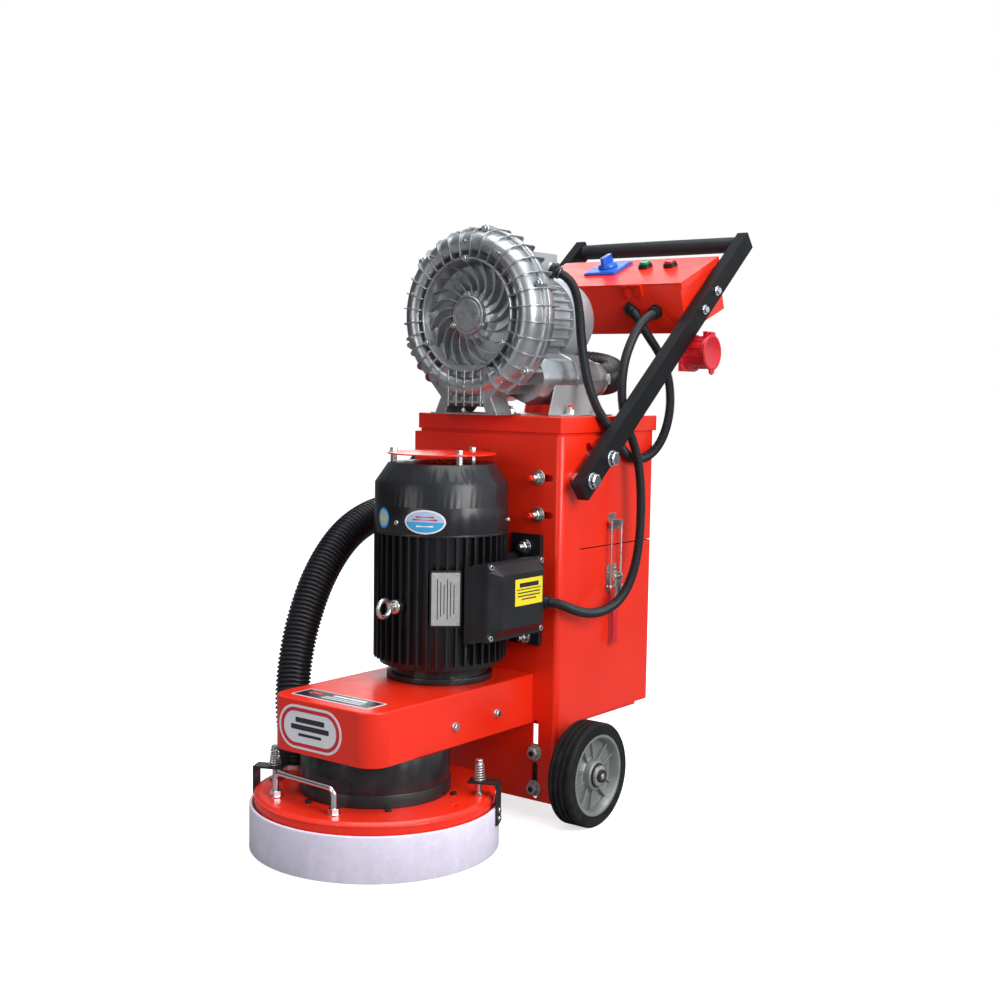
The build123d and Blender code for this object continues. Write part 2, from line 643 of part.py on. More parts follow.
def filter_cartridges():
    """Two pleated filter cartridges hanging from the deck, drawn as tubes with a closed foot."""
    with BuildPart() as piece:
        for y in FILTER_Y:
            turned(upright(0, y), [(0, 545), (FILTER_R, 545), (FILTER_R, FILTER_DECK),
                                   (FILTER_R + 10, FILTER_DECK), (FILTER_R + 10, FILTER_DECK + 4),
                                   (FILTER_R - 18, FILTER_DECK + 4), (FILTER_R - 18, 551), (0, 551)])
    save(piece, "filter_cartridges")


def filter_lid():
    """Lid with down-turned edges and the spigot of the suction hose."""
    half = 176.5
    front = 315.7
    rear = 662.0
    wall = BOX_SHEET
    with BuildPart() as piece:
        block((-half, front, LID_LOW), (half, rear, LID_TOP))
        fillet(piece.edges().group_by(Axis.Z)[-1], 2)
        block((-half + wall, front + wall / 2, LID_LOW - 1), (half - wall, rear - wall, LID_TOP - wall),
              mode=Mode.SUBTRACT)
        mouth = Vector(*LID_PORT)
        tilt = Vector(*LID_PORT_OUT)
        rod(mouth - tilt * 30, tilt, HOSE_R, 30)
        rod(mouth - tilt * 40, tilt, HOSE_R - 4, 60, mode=Mode.SUBTRACT)
    save(piece, "filter_lid")


def dust_bin():
    """Open-topped bin that slides out to the back."""
    wall = BOX_SHEET
    with BuildPart() as piece:
        block((-BOX_HALF, BOX_FRONT + wall, BIN_LOW), (BOX_HALF, BOX_REAR, BIN_HIGH))
        block((-BOX_HALF + wall, BOX_FRONT + 2 * wall, BIN_LOW + wall),
              (BOX_HALF - wall, BOX_REAR - wall, BIN_HIGH + 1), mode=Mode.SUBTRACT)
    save(piece, "dust_bin")


# ---------------------------------------------------------------- latches
def latch_bases():
    """Base plate and two ears for each latch, with the lever's pivot pin."""
    with BuildPart() as piece:
        for side in SIDES:
            block((side * BOX_HALF, LATCH_Y - 18, 425), (side * (BOX_HALF + 2.5), LATCH_Y + 18, 478))
            for flank in SIDES:
                block((side * BOX_HALF, LATCH_Y + flank * 10.5, LATCH_PIVOT[1] - 8),
                      (side * LATCH_PIVOT[0], LATCH_Y + flank * 13, LATCH_PIVOT[1] + 8))
                rod((side * LATCH_PIVOT[0], LATCH_Y + flank * 10.5, LATCH_PIVOT[1]), (0, flank, 0), 8, 2.5)
            rod((side * LATCH_PIVOT[0], LATCH_Y - 13, LATCH_PIVOT[1]), (0, 1, 0), 2.5, 26)
    save(piece, "latch_bases")


def latch(side, name):
    """Over-centre lever and its wire loop, drawn closed with the loop over the keeper."""
    pivot_x = side * LATCH_PIVOT[0]
    pivot_z = LATCH_PIVOT[1]
    pin_x = side * (LATCH_PIVOT[0] + LATCH_THROW * cos(radians(LATCH_DEAD)))
    pin_z = pivot_z + LATCH_THROW * sin(radians(LATCH_DEAD))
    with BuildPart() as lever:
        block((side * 182, LATCH_Y - 10, 320), (side * 188.5, LATCH_Y + 10, pivot_z))
        rod((pivot_x, LATCH_Y - 10, pivot_z), (0, 1, 0), 6.5, 20)
        rod((pivot_x, LATCH_Y - 11, pivot_z), (0, 1, 0), 2.5 + RUN_FIT, 22, mode=Mode.SUBTRACT)
        rod((pin_x, LATCH_Y - 11, pin_z), (0, 1, 0), WIRE_R + RUN_FIT, 22, mode=Mode.SUBTRACT)
    save(lever, f"{name}_latch_lever")
    bar_x = side * LOOP_BAR_X
    with BuildPart() as loop:
        rod((pin_x, LATCH_Y - LOOP_HALF, pin_z), (0, 1, 0), WIRE_R, 2 * LOOP_HALF)
        rod((bar_x, LATCH_Y - LOOP_HALF, LOOP_TOP), (0, 1, 0), WIRE_R, 2 * LOOP_HALF)
        for y in (LATCH_Y - LOOP_HALF, LATCH_Y + LOOP_HALF):
            with Locations((pin_x, y, pin_z), (pin_x, y, LOOP_TOP), (bar_x, y, LOOP_TOP)):
                Sphere(WIRE_R)
            rod((pin_x, y, pin_z), (0, 0, 1), WIRE_R, LOOP_TOP - pin_z)
            rod((bar_x, y, LOOP_TOP), (side, 0, 0), WIRE_R, abs(pin_x - bar_x))
    save(loop, f"{name}_latch_loop")


# ---------------------------------------------------------------- blower
def blower_casing():
    """Side-channel casing with cooling fins, port blocks at the bottom and a foot on the lid."""
    cx, cz = BLOWER
    with BuildPart() as piece:
        turned(BLOWER_PLANE, [(16, 264), (31, 264), (31, 285), (105, 285), (105, 258), (118, 258),
                              (150, 266), (160, 278), (160, 290), (170, 290), (170, 314), (160, 314),
                              (158, 332),
                              (120, 345), (60, 345), (60, 360), (16, 360)])
        with Locations(Plane(origin=(cx, 289, cz), z_dir=(0, -1, 0))):
            with PolarLocations(134, 30):
                Box(64, 3, 24, align=(Align.CENTER, Align.CENTER, Align.MIN))
            with PolarLocations(68, 20):
                Box(72, 4, 18, align=(Align.CENTER, Align.CENTER, Align.MIN))
        for side in SIDES:
            rod((cx + side * SILENCER_OFFSET, 290, SILENCER_Z), (0, 1, 0), SILENCER_R, 56)
        block((-98, 262, LID_TOP + 2), (66, 315, 790))
        block((-98, 315, LID_TOP), (66, 340, 790))
        block((-60, 292, 788), (36, 312, 830))
        turned(BLOWER_PLANE, [(0, 292), (146, 292), (146, 318), (0, 318)], mode=Mode.SUBTRACT)
        rod((cx, 250, cz), (0, 1, 0), 16, 120, mode=Mode.SUBTRACT)
        rod((cx, 264, cz), (0, 1, 0), 31, 20)
    save(piece, "blower_casing")


def blower_rotor():
    """Bladed impeller on the blower's shaft, with the cooling fan at the back."""
    with BuildPart() as piece:
        turned(BLOWER_PLANE, [(0, 296), (138, 296), (138, 300), (24, 300), (24, 310), (12, 310), (12, 385),
                              (40, 385), (40, 470), (12, 470), (12, 520), (70, 520), (70, 523), (0, 523)])
        with Locations(Plane(origin=(BLOWER[0], 299, BLOWER[1]), z_dir=(0, 1, 0))):
            with PolarLocations(122, 24):
                Box(32, 3, 13, align=(Align.CENTER, Align.CENTER, Align.MIN))
    save(piece, "blower_rotor")


def blower_motor():
    """Finned motor, rear cowl and terminal box with the gland of the supply conduit."""
    cx, cz = BLOWER
    with BuildPart() as piece:
        turned(BLOWER_PLANE, [(16, 360), (78, 360), (78, 500), (88, 500), (90, 540), (82, 580), (0, 580),
                              (0, 578), (80, 578), (87, 540), (86, 503), (16, 503), (16, 495), (70, 495),
                              (70, 372), (16, 372)])
        with Locations(Plane(origin=(cx, 366, cz), z_dir=(0, 1, 0))):
            with PolarLocations(81, 28):
                Box(9, 3, 134, align=(Align.CENTER, Align.CENTER, Align.MIN))
        block((-20, 374, 1036), (62, 446, 1052))
        block((-24, 370, 1052), (66, 450, 1094))
        direction = Vector(*BLOWER_GLAND_OUT)
        rod(Vector(*BLOWER_GLAND) - direction * 30, direction, 12.5, 30)
    save(piece, "blower_motor")


def silencers():
    """Suction silencer with its hose tail, closed exhaust silencer, and the bracket that steadies them."""
    def level_plane(x):
        return Plane(origin=(x, 0, SILENCER_Z), x_dir=(1, 0, 0), z_dir=(0, 0, 1))

    bracket_x = BLOWER[0] + SILENCER_OFFSET + SILENCER_R + 0.2
    with BuildPart() as piece:
        turned(level_plane(BLOWER[0] + SILENCER_OFFSET),
               [(30, 346), (SILENCER_R, 346), (SILENCER_R, 545), (HOSE_R, 568), (HOSE_R, SILENCER_END),
                (HOSE_R - 5, SILENCER_END), (HOSE_R - 5, 560), (30, 545)])
        turned(level_plane(BLOWER[0] - SILENCER_OFFSET),
               [(30, 346), (SILENCER_R, 346), (SILENCER_R, 530), (SILENCER_R - 12, 545), (0, 545), (0, 540),
                (30, 530)])
        block((bracket_x, 350, LID_TOP), (152, 530, LID_TOP + 3))
        block((bracket_x, 350, LID_TOP), (bracket_x + 3, 530, 846))
        for y in (404, 500):
            hexagon((137, y, LID_TOP + 3), (0, 0, 1), 13, 8)
    save(piece, "silencers")


# ---------------------------------------------------------------- handle
def arm_point(along, x=0.0):
    """Point on the handle arms' centreline, measured from their lower ends."""
    tilt = radians(ARM_TILT)
    return (x, ARM_START[0] + along * cos(tilt), ARM_START[1] + along * sin(tilt))


def handle_arms():
    """Two rectangular tubes with holes for the pivot and the locking bolt."""
    tilt = radians(ARM_TILT)
    with BuildPart() as piece:
        for side in SIDES:
            start = arm_point(0, side * (ARM_IN + ARM_WIDE / 2))
            across = Plane(origin=start, x_dir=(1, 0, 0), z_dir=(0, cos(tilt), sin(tilt)))
            with BuildSketch(across) as section:
                Rectangle(ARM_WIDE, ARM_DEEP)
                Rectangle(ARM_WIDE - 5, ARM_DEEP - 5, mode=Mode.SUBTRACT)
            extrude(section.sketch, amount=ARM_LENGTH)
        for y, z in (PIVOT, LOCK_POINT):
            rod((-240, y, z), (1, 0, 0), 8 + RUN_FIT, 480, mode=Mode.SUBTRACT)
    save(piece, "handle_arms")


def handle_bolts():
    """Pivot and locking bolts through the arms, with spacers, and the control box's bolts."""
    nut_end = BOX_HALF + 2.5
    with BuildPart() as piece:
        for side in SIDES:
            for y, z in (PIVOT, LOCK_POINT):
                rod((side * nut_end, y, z), (side, 0, 0), 8, ARM_IN + ARM_WIDE - nut_end)
                rod((side * (PLATE_HALF + GAP), y, z), (side, 0, 0), 14, ARM_IN - PLATE_HALF - GAP)
                hexagon((side * (ARM_IN + ARM_WIDE), y, z), (side, 0, 0), 24, 9)
                hexagon((side * nut_end, y, z), (side, 0, 0), 24, PLATE_HALF - SHEET - GAP - nut_end)
            for along in (566, 632):
                hexagon(arm_point(along, side * (ARM_IN + ARM_WIDE)), (side, 0, 0), 13, 6)
                rod(arm_point(along, side * CONTROL_HALF), (side, 0, 0), 9, ARM_IN - CONTROL_HALF)
    save(piece, "handle_bolts")


def grip():
    with BuildPart() as piece:
        rod((-ARM_IN, *GRIP), (1, 0, 0), 17.5, 2 * ARM_IN)
    save(piece, "grip")


# ---------------------------------------------------------------- control box
PANEL_COS = cos(radians(PANEL_TILT))
PANEL_SIN = sin(radians(PANEL_TILT))
BOX_FLOOR_FRONT = (-10.8, -105.1)
BOX_FLOOR_REAR = (161.8, -113.0)
HINGE = (-4.0, 1.2)
KNUCKLES_X = (-80.0, 80.0)
LIP = 13.0               # depth of the lid's turned-down edges


def panel_plane(x):
    """Side-view plane along the panel: local X runs up the slope, local Y is its normal."""
    return Plane(origin=(x, *PANEL_EDGE), x_dir=(0, PANEL_COS, PANEL_SIN), z_dir=(1, 0, 0))


def on_panel(x, along, normal):
    """Point given by its x, its distance up the slope and its height over the panel."""
    return (x, PANEL_EDGE[0] + along * PANEL_COS - normal * PANEL_SIN,
            PANEL_EDGE[1] + along * PANEL_SIN + normal * PANEL_COS)


def over_panel(x, along, normal):
    """Plane parallel to the panel through such a point."""
    return Plane(origin=on_panel(x, along, normal), x_dir=(1, 0, 0), z_dir=PANEL_NORMAL)


PANEL_NORMAL = (0, -PANEL_SIN, PANEL_COS)


def panel_slab(points, x_low, x_high, mode=Mode.ADD):
    """Outline in the panel's side view, extruded between two x values."""
    extrude(outline_face(panel_plane(x_low), points), amount=x_high - x_low, mode=mode)


def control_box():
    """Open-topped sheet box between the arms, with hinge leaves and the bracket of the power inlet."""
    wall = CONTROL_WALL
    half = CONTROL_HALF
    with BuildPart() as piece:
        panel_slab([(0, 0), (PANEL_LONG, 0), BOX_FLOOR_REAR, BOX_FLOOR_FRONT], -half, half)
        panel_slab([(wall, 1), (PANEL_LONG - wall, 1), (BOX_FLOOR_REAR[0] - wall, BOX_FLOOR_REAR[1] + wall),
                    (BOX_FLOOR_FRONT[0] + wall, BOX_FLOOR_FRONT[1] + wall)],
                   wall - half, half - wall, mode=Mode.SUBTRACT)
        for middle in KNUCKLES_X:
            for low, high in ((-24, -8.3), (8.3, 24)):
                panel_slab([(-5.5, 1), (0, -1), (-2.6, -25), (-5.2, -25)], middle + low, middle + high)
                rod(on_panel(middle + low, *HINGE), (1, 0, 0), 3.5, high - low)
            rod(on_panel(middle - 24, *HINGE), (1, 0, 0), 1.5, 48)
        block((half - 2, INLET[0] - 40, INLET[1] - 40), (half, INLET[0] + 30, INLET[1] + 62))
    save(piece, "control_box")


def control_lid():
    """Hinged panel with side and rear lips and holes for its controls."""
    low = 0.4
    top = low + CONTROL_WALL
    half = CONTROL_HALF + 2.4
    with BuildPart() as piece:
        panel_slab([(-0.5, low), (PANEL_LONG + 3, low), (PANEL_LONG + 3, top), (-0.5, top)], -half, half)
        panel_slab([(PANEL_LONG + 1, -LIP), (PANEL_LONG + 3, -LIP), (PANEL_LONG + 3, top),
                    (PANEL_LONG + 1, top)], -half, half)
        for side in SIDES:
            edges = sorted((side * half, side * (half - CONTROL_WALL)))
            panel_slab([(1, -LIP), (PANEL_LONG + 3, -LIP), (PANEL_LONG + 3, top), (1, top)], *edges)
        for middle in KNUCKLES_X:
            rod(on_panel(middle - 8, *HINGE), (1, 0, 0), 3.5, 16)
            panel_slab([(-4, 0.6), (2, 0.6), (2, 3.2), (-4, 3.2)], middle - 8, middle + 8)
            rod(on_panel(middle - 9, *HINGE), (1, 0, 0), 1.5 + RUN_FIT, 18, mode=Mode.SUBTRACT)
        for x in BUTTONS_X:
            rod(on_panel(x, BUTTON_UP, -5), PANEL_NORMAL, 11 + GAP, 12, mode=Mode.SUBTRACT)
        rod(on_panel(SWITCH[0], SWITCH[1], -5), PANEL_NORMAL, 5, 12, mode=Mode.SUBTRACT)
    save(piece, "control_lid")


def panel_fittings():
    """Switch base plate, button collars and, under the panel, the switch and contact blocks."""
    with BuildPart() as piece:
        with BuildSketch(over_panel(*SWITCH, 2.4)) as base:
            RectangleRounded(84, 82, 6)
        extrude(base.sketch, amount=6)
        with BuildSketch(over_panel(*SWITCH, 0.4)) as body:
            Rectangle(50, 50)
        extrude(body.sketch, amount=-60)
        rod(on_panel(*SWITCH, -60), PANEL_NORMAL, 4 + RUN_FIT, 80, mode=Mode.SUBTRACT)
        for x in BUTTONS_X:
            rod(on_panel(x, BUTTON_UP, 2.4), PANEL_NORMAL, 15, 9)
            rod(on_panel(x, BUTTON_UP, 2), PANEL_NORMAL, 11 + GAP, 12, mode=Mode.SUBTRACT)
            with BuildSketch(over_panel(x, BUTTON_UP, 0.4)) as box:
                Rectangle(30, 30)
            extrude(box.sketch, amount=-36)
            rod(on_panel(x, BUTTON_UP, -6), PANEL_NORMAL, 12, 8, mode=Mode.SUBTRACT)
            rod(on_panel(x, BUTTON_UP, -40), PANEL_NORMAL, 6, 40, mode=Mode.SUBTRACT)
    save(piece, "panel_fittings")


def main_switch():
    """Rotary knob with a finger bar, on its shaft through the panel."""
    top = 2.4 + 6
    with BuildPart() as piece:
        rod(on_panel(*SWITCH, -10), PANEL_NORMAL, 4, top + 12)
        rod(on_panel(*SWITCH, top + GAP), PANEL_NORMAL, 21, 8)
        with BuildSketch(over_panel(*SWITCH, top + 8)) as bar:
            SlotOverall(40, 12, rotation=90)
        extrude(bar.sketch, amount=18)
    save(piece, "main_switch")


def push_button(x, node):
    """Button cap and its stem, raised by its full travel."""
    with BuildPart() as piece:
        rod(on_panel(x, BUTTON_UP, 0.5), PANEL_NORMAL, 11, 16)
        rod(on_panel(x, BUTTON_UP, -14), PANEL_NORMAL, 5, 15)
    save(piece, node)


def conduit_glands():
    """Cable glands on the front face of the control box."""
    with BuildPart() as piece:
        for mouth, out in CONTROL_GLANDS:
            direction = Vector(*out)
            start = Vector(*mouth) - direction * GLAND_LONG
            rod(start, direction, 12.5, GLAND_LONG - GAP)
            hexagon(start, direction, 30, 9)
        panel_slab([(0, 0), (PANEL_LONG, 0), BOX_FLOOR_REAR, BOX_FLOOR_FRONT], -CONTROL_HALF, CONTROL_HALF,
                   mode=Mode.SUBTRACT)
    save(piece, "conduit_glands")


def contactor():
    """Motor contactor standing on the floor of the control box."""
    def floor(along):
        front = (BOX_FLOOR_FRONT[0] + CONTROL_WALL, BOX_FLOOR_FRONT[1] + CONTROL_WALL)
        rear = (BOX_FLOOR_REAR[0] - CONTROL_WALL, BOX_FLOOR_REAR[1] + CONTROL_WALL)
        return front[1] + (rear[1] - front[1]) * (along - front[0]) / (rear[0] - front[0])

    with BuildPart() as piece:
        panel_slab([(40, floor(40)), (115, floor(115)), (115, -40), (40, -40)], -160, -110)
    save(piece, "contactor")


def power_inlet():
    """Flanged plug inlet that faces sideways, with its five pins."""
    y, z = INLET
    start = CONTROL_HALF
    with BuildPart() as piece:
        block((start, y - 38, z - 38), (start + 3.7, y + 38, z + 38))
        rod((start + 3.7, y, z), (1, 0, 0), 34, INLET_LONG + 2.3)
        rod((start + 16, y, z), (1, 0, 0), 30, INLET_LONG, mode=Mode.SUBTRACT)
        with Locations(Plane(origin=(start + 14, y, z), z_dir=(1, 0, 0))):
            with PolarLocations(18, 5):
                Cylinder(3, 32, align=(Align.CENTER, Align.CENTER, Align.MIN))
        hinge_x = start + INLET_LONG
        for flank in SIDES:
            block((hinge_x - 6, y + flank * 10, z + 30), (hinge_x + 6, y + flank * 14, z + 44))
        rod((hinge_x, y - 14, z + 40), (0, 1, 0), 1.5, 28)
    save(piece, "power_inlet")


def inlet_cap():
    """Sprung cap over the inlet with a lift lug."""
    y, z = INLET
    face = CONTROL_HALF + 6 + INLET_LONG + GAP
    with BuildPart() as piece:
        rod((face, y, z), (1, 0, 0), 37, 5)
        block((face, y - 9.5, z + 30), (face + 5, y + 9.5, z + 41))
        block((CONTROL_HALF + INLET_LONG, y - 9.5, z + 38), (face + 5, y + 9.5, z + 42))
        rod((CONTROL_HALF + INLET_LONG, y - 9.5, z + 40), (0, 1, 0), 3.2, 19)
        block((face, y - 7, z - 44), (face + 5, y + 7, z - 34))
        rod((CONTROL_HALF + INLET_LONG, y - 12, z + 40), (0, 1, 0), 1.5 + RUN_FIT, 24, mode=Mode.SUBTRACT)
    save(piece, "inlet_cap")


# ---------------------------------------------------------------- hoses and conduits
def bend_radii(points):
    """Largest radius that each corner's two runs allow."""
    radii = []
    for before, corner, after in zip(points, points[1:], points[2:]):
        arriving = Vector(*corner) - Vector(*before)
        leaving = Vector(*after) - Vector(*corner)
        half_turn = radians(arriving.get_angle(leaving)) / 2
        radii.append(0.45 * min(arriving.length, leaving.length) / tan(half_turn))
    return radii


def hose(node, points, diameter):
    """Plain tube along straight runs joined by tangent arcs."""
    radii = bend_radii(points)
    with BuildPart() as piece:
        with BuildLine() as route:
            FilletPolyline(*points, radius=radii)
        with BuildSketch(Plane(origin=points[0], z_dir=Vector(*points[1]) - Vector(*points[0]))):
            Circle(diameter / 2)
        sweep()
    length = sum(edge.length for edge in route.edges())
    section = pi * diameter ** 2 / 4
    print(node, "length", round(length), "volume ratio", round(piece.part.volume / section / length, 4))
    print("  radii in diameters", [round(radius / diameter, 1) for radius in radii])
    save(piece, node)


# ---------------------------------------------------------------- routes
DUST_ROUTE = [(-180, -25, 120), (-180, -25, 165), (-192, -24, 225), (-205, -6, 300), (-213, 25, 382),
              (-219, 76, 468), (-223, 150, 538), (-226, 240, 572), (-228, 330, 576), HOSE_END]
ELBOW_ROUTE = [(74.8, SILENCER_END, 848), (74.8, 624, 848), (65, 664, 858), (36, 692, 868), (-6, 702, 876),
               (-46, 692, 878), (-74, 662, 864), (-84, 622, 832), LID_PORT]
CONTROL_ROUTE = [BLOWER_GLAND, (96.0, 449.4, 1047.4), (110, 456, 1018), (118, 457, 978), (128, 448, 936),
                 (142, 437, 890), (160, 428, 842), (178, 428, 800), (188, 442, 772), (188, 472, 748),
                 (186, 506, 718), (184, 545, 694), (184, 590, 686), (185, 636, 698), (187, 670, 726),
                 (188, 692, 766), (186, 702, 810), (178, 704, 858), (160, 696, 905), (132, 690, 944),
                 (100.0, 703, 979.9), (84.2, 714.0, 990.5)]
MOTOR_ROUTE = [(134.6, 704.2, 987.8), (140, 670, 977.3), (149, 628, 958), (160, 584, 928), (170, 546, 892),
               (179, 521, 850), (186, 512, 806), (191, 519, 764), (204, 530, 726), (213, 537, 684),
               (216, 543, 636), (216, 546, 584), (216, 543, 532), (216, 531, 482), (216, 505, 438),
               (216, 466, 410), (216, 420, 399), (216, 374, 399), (215, 332, 408), (208, 300, 420),
               (196, 284.5, 428), MOTOR_GLAND]


# ---------------------------------------------------------------- build
spindle_shaft()
tool_plate()
grinding_shoes()
pulley("driven_pulley", SPINDLE_PLANE, SPINDLE_SHAFT_R, DRIVEN_R, 204, 246)
pulley("drive_pulley", MOTOR_PLANE, MOTOR_SHAFT_R, DRIVE_R, 204, 246)
drive_belts()
spindle_housing()
shaft_bearings()
cover_disc()
guide_rods()
carry_handle()
belt_housing()
skirt_ring()
skirt_brackets()
skirt_springs()
motor_body()
motor_stator()
motor_rotor()
motor_cowl()
rain_cap()
lifting_eye()
terminal_box()
motor_bracket()
chassis_frame()
chassis_fasteners()
wheel_carriage()
wheel(-1, "left")
wheel(1, "right")
filter_housing()
filter_cartridges()
filter_lid()
dust_bin()
latch_bases()
latch(-1, "left")
latch(1, "right")
blower_casing()
blower_rotor()
blower_motor()
silencers()
handle_arms()
handle_bolts()
grip()
control_box()
control_lid()
panel_fittings()
main_switch()
push_button(BUTTONS_X[0], "start_button")
push_button(BUTTONS_X[1], "stop_button")
conduit_glands()
contactor()
power_inlet()
inlet_cap()
hose("dust_hose", DUST_ROUTE, 2 * HOSE_R)
hose("elbow_hose", ELBOW_ROUTE, 2 * HOSE_R)
hose("control_conduit", CONTROL_ROUTE, 19)
hose("motor_conduit", MOTOR_ROUTE, 19)
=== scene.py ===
"""Looks for the walk-behind concrete grinder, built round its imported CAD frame.

Pieces are drawn in millimetres in the row frame and scaled to metres when they are made.
Cord routes are in metres.
"""

import json
from math import cos, pi, radians, sin, sqrt, tau

import bmesh
import bpy
from mathutils import Matrix, Vector


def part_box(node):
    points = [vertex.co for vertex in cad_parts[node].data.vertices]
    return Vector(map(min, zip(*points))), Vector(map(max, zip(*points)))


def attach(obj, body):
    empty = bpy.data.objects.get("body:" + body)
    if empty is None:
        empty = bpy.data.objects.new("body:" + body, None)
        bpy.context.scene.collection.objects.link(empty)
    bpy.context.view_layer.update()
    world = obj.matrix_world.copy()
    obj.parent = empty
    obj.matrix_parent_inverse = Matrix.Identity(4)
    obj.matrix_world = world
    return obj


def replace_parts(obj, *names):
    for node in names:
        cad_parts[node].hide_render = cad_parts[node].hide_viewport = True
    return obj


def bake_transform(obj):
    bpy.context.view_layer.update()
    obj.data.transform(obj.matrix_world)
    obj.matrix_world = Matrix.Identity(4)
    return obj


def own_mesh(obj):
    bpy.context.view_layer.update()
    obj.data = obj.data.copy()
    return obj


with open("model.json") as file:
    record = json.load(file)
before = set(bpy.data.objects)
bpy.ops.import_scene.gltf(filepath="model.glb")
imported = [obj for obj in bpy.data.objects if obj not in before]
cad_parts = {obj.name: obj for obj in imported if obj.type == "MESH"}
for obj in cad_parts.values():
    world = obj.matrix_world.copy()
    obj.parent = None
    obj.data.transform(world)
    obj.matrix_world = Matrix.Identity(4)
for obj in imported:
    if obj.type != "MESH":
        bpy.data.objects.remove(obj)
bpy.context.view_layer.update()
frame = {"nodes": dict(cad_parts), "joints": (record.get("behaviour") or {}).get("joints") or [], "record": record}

MM = 0.001
X = Vector((1, 0, 0))
Y = Vector((0, 1, 0))
Z = Vector((0, 0, 1))
SIDES = (-1, 1)
JOINTS = {joint["name"]: joint for joint in frame["joints"]}


# ---------------------------------------------------------------- camera
def make_camera():
    azimuth, pitch, roll = radians(37.29), radians(5.12), radians(0.88)
    forward = Vector((-sin(azimuth) * cos(pitch), cos(azimuth) * cos(pitch), -sin(pitch)))
    right = Vector((cos(azimuth), sin(azimuth), 0))
    up = right.cross(forward)
    data = bpy.data.cameras.new("camera")
    data.sensor_width = 36
    data.lens = 50.56
    data.shift_x = -0.0022
    data.shift_y = 0.0067
    camera = bpy.data.objects.new("camera", data)
    bpy.context.scene.collection.objects.link(camera)
    turned_right = right * cos(roll) + up * sin(roll)
    turned_up = up * cos(roll) - right * sin(roll)
    turn = Matrix((turned_right, turned_up, -forward)).transposed().to_4x4()
    camera.matrix_world = Matrix.Translation((1.6969, -1.8596, 0.8426)) @ turn
    bpy.context.scene.camera = camera


make_camera()


# ---------------------------------------------------------------- materials
def link(tree, source, target):
    tree.links.new(source, target)


def noise(tree, coords, scale, detail=3.0, stretch=(1, 1, 1)):
    mapping = tree.nodes.new("ShaderNodeMapping")
    mapping.inputs["Scale"].default_value = stretch
    link(tree, coords, mapping.inputs["Vector"])
    node = tree.nodes.new("ShaderNodeTexNoise")
    node.inputs["Scale"].default_value = scale
    node.inputs["Detail"].default_value = detail
    link(tree, mapping.outputs["Vector"], node.inputs["Vector"])
    return node.outputs["Fac"]


def ranged(tree, source, low, high, to_low=0.0, to_high=1.0):
    node = tree.nodes.new("ShaderNodeMapRange")
    for socket, value in zip(("From Min", "From Max", "To Min", "To Max"), (low, high, to_low, to_high)):
        node.inputs[socket].default_value = value
    link(tree, source, node.inputs["Value"])
    return node.outputs["Result"]


def mixed(tree, factor, first, second):
    """Colour mix. first and second are colours or sockets."""
    node = tree.nodes.new("ShaderNodeMix")
    node.data_type = "RGBA"
    link(tree, factor, node.inputs["Factor"])
    for socket, value in ((node.inputs[6], first), (node.inputs[7], second)):
        if isinstance(value, tuple):
            socket.default_value = (*value, 1)
        else:
            link(tree, value, socket)
    return node.outputs[2]


def times(tree, first, second):
    node = tree.nodes.new("ShaderNodeMath")
    node.operation = "MULTIPLY"
    link(tree, first, node.inputs[0])
    if isinstance(second, float):
        node.inputs[1].default_value = second
    else:
        link(tree, second, node.inputs[1])
    return node.outputs[0]


DUST = (0.42, 0.39, 0.35)


def surface(name, colour, second, metallic=0.0, rough=(0.3, 0.45), blotch=7.0, grain=350.0, bump=0.12,
            depth=0.3, coat=0.0, dust=0.0, stretch=(1, 1, 1), subsurface=0.0, shine=0.5):
    """Finish with drifting colour, uneven gloss, fine relief, and dust that thins out upwards."""
    material = bpy.data.materials.new(name)
    material.use_nodes = True
    tree = material.node_tree
    shader = tree.nodes["Principled BSDF"]
    coords = tree.nodes.new("ShaderNodeTexCoord").outputs["Object"]
    patches = noise(tree, coords, blotch, 5.0)
    fine = noise(tree, coords, grain, 3.0, stretch)
    smudge = noise(tree, coords, blotch * 4, 6.0)
    tint = mixed(tree, ranged(tree, patches, 0.35, 0.68), colour, second)
    sparkle = tuple(min(1.0, c * 1.25 + 0.004) for c in colour)
    tint = mixed(tree, times(tree, ranged(tree, fine, 0.5, 0.8), 0.35), tint, sparkle)
    if dust:
        height = tree.nodes.new("ShaderNodeSeparateXYZ")
        link(tree, coords, height.inputs["Vector"])
        low = ranged(tree, height.outputs["Z"], 0.0, 0.35, dust, 0.0)
        tint = mixed(tree, times(tree, low, ranged(tree, smudge, 0.4, 0.7)), tint, DUST)
    link(tree, tint, shader.inputs["Base Color"])
    link(tree, ranged(tree, smudge, 0.3, 0.7, *rough), shader.inputs["Roughness"])
    relief = tree.nodes.new("ShaderNodeBump")
    relief.inputs["Strength"].default_value = bump
    relief.inputs["Distance"].default_value = depth * MM
    link(tree, fine, relief.inputs["Height"])
    link(tree, relief.outputs["Normal"], shader.inputs["Normal"])
    shader.inputs["Metallic"].default_value = metallic
    shader.inputs["Specular IOR Level"].default_value = shine
    shader.inputs["Coat Weight"].default_value = coat
    shader.inputs["Coat Roughness"].default_value = 0.12
    if subsurface:
        shader.inputs["Subsurface Weight"].default_value = subsurface
        shader.inputs["Subsurface Radius"].default_value = (0.01, 0.01, 0.012)
    return material


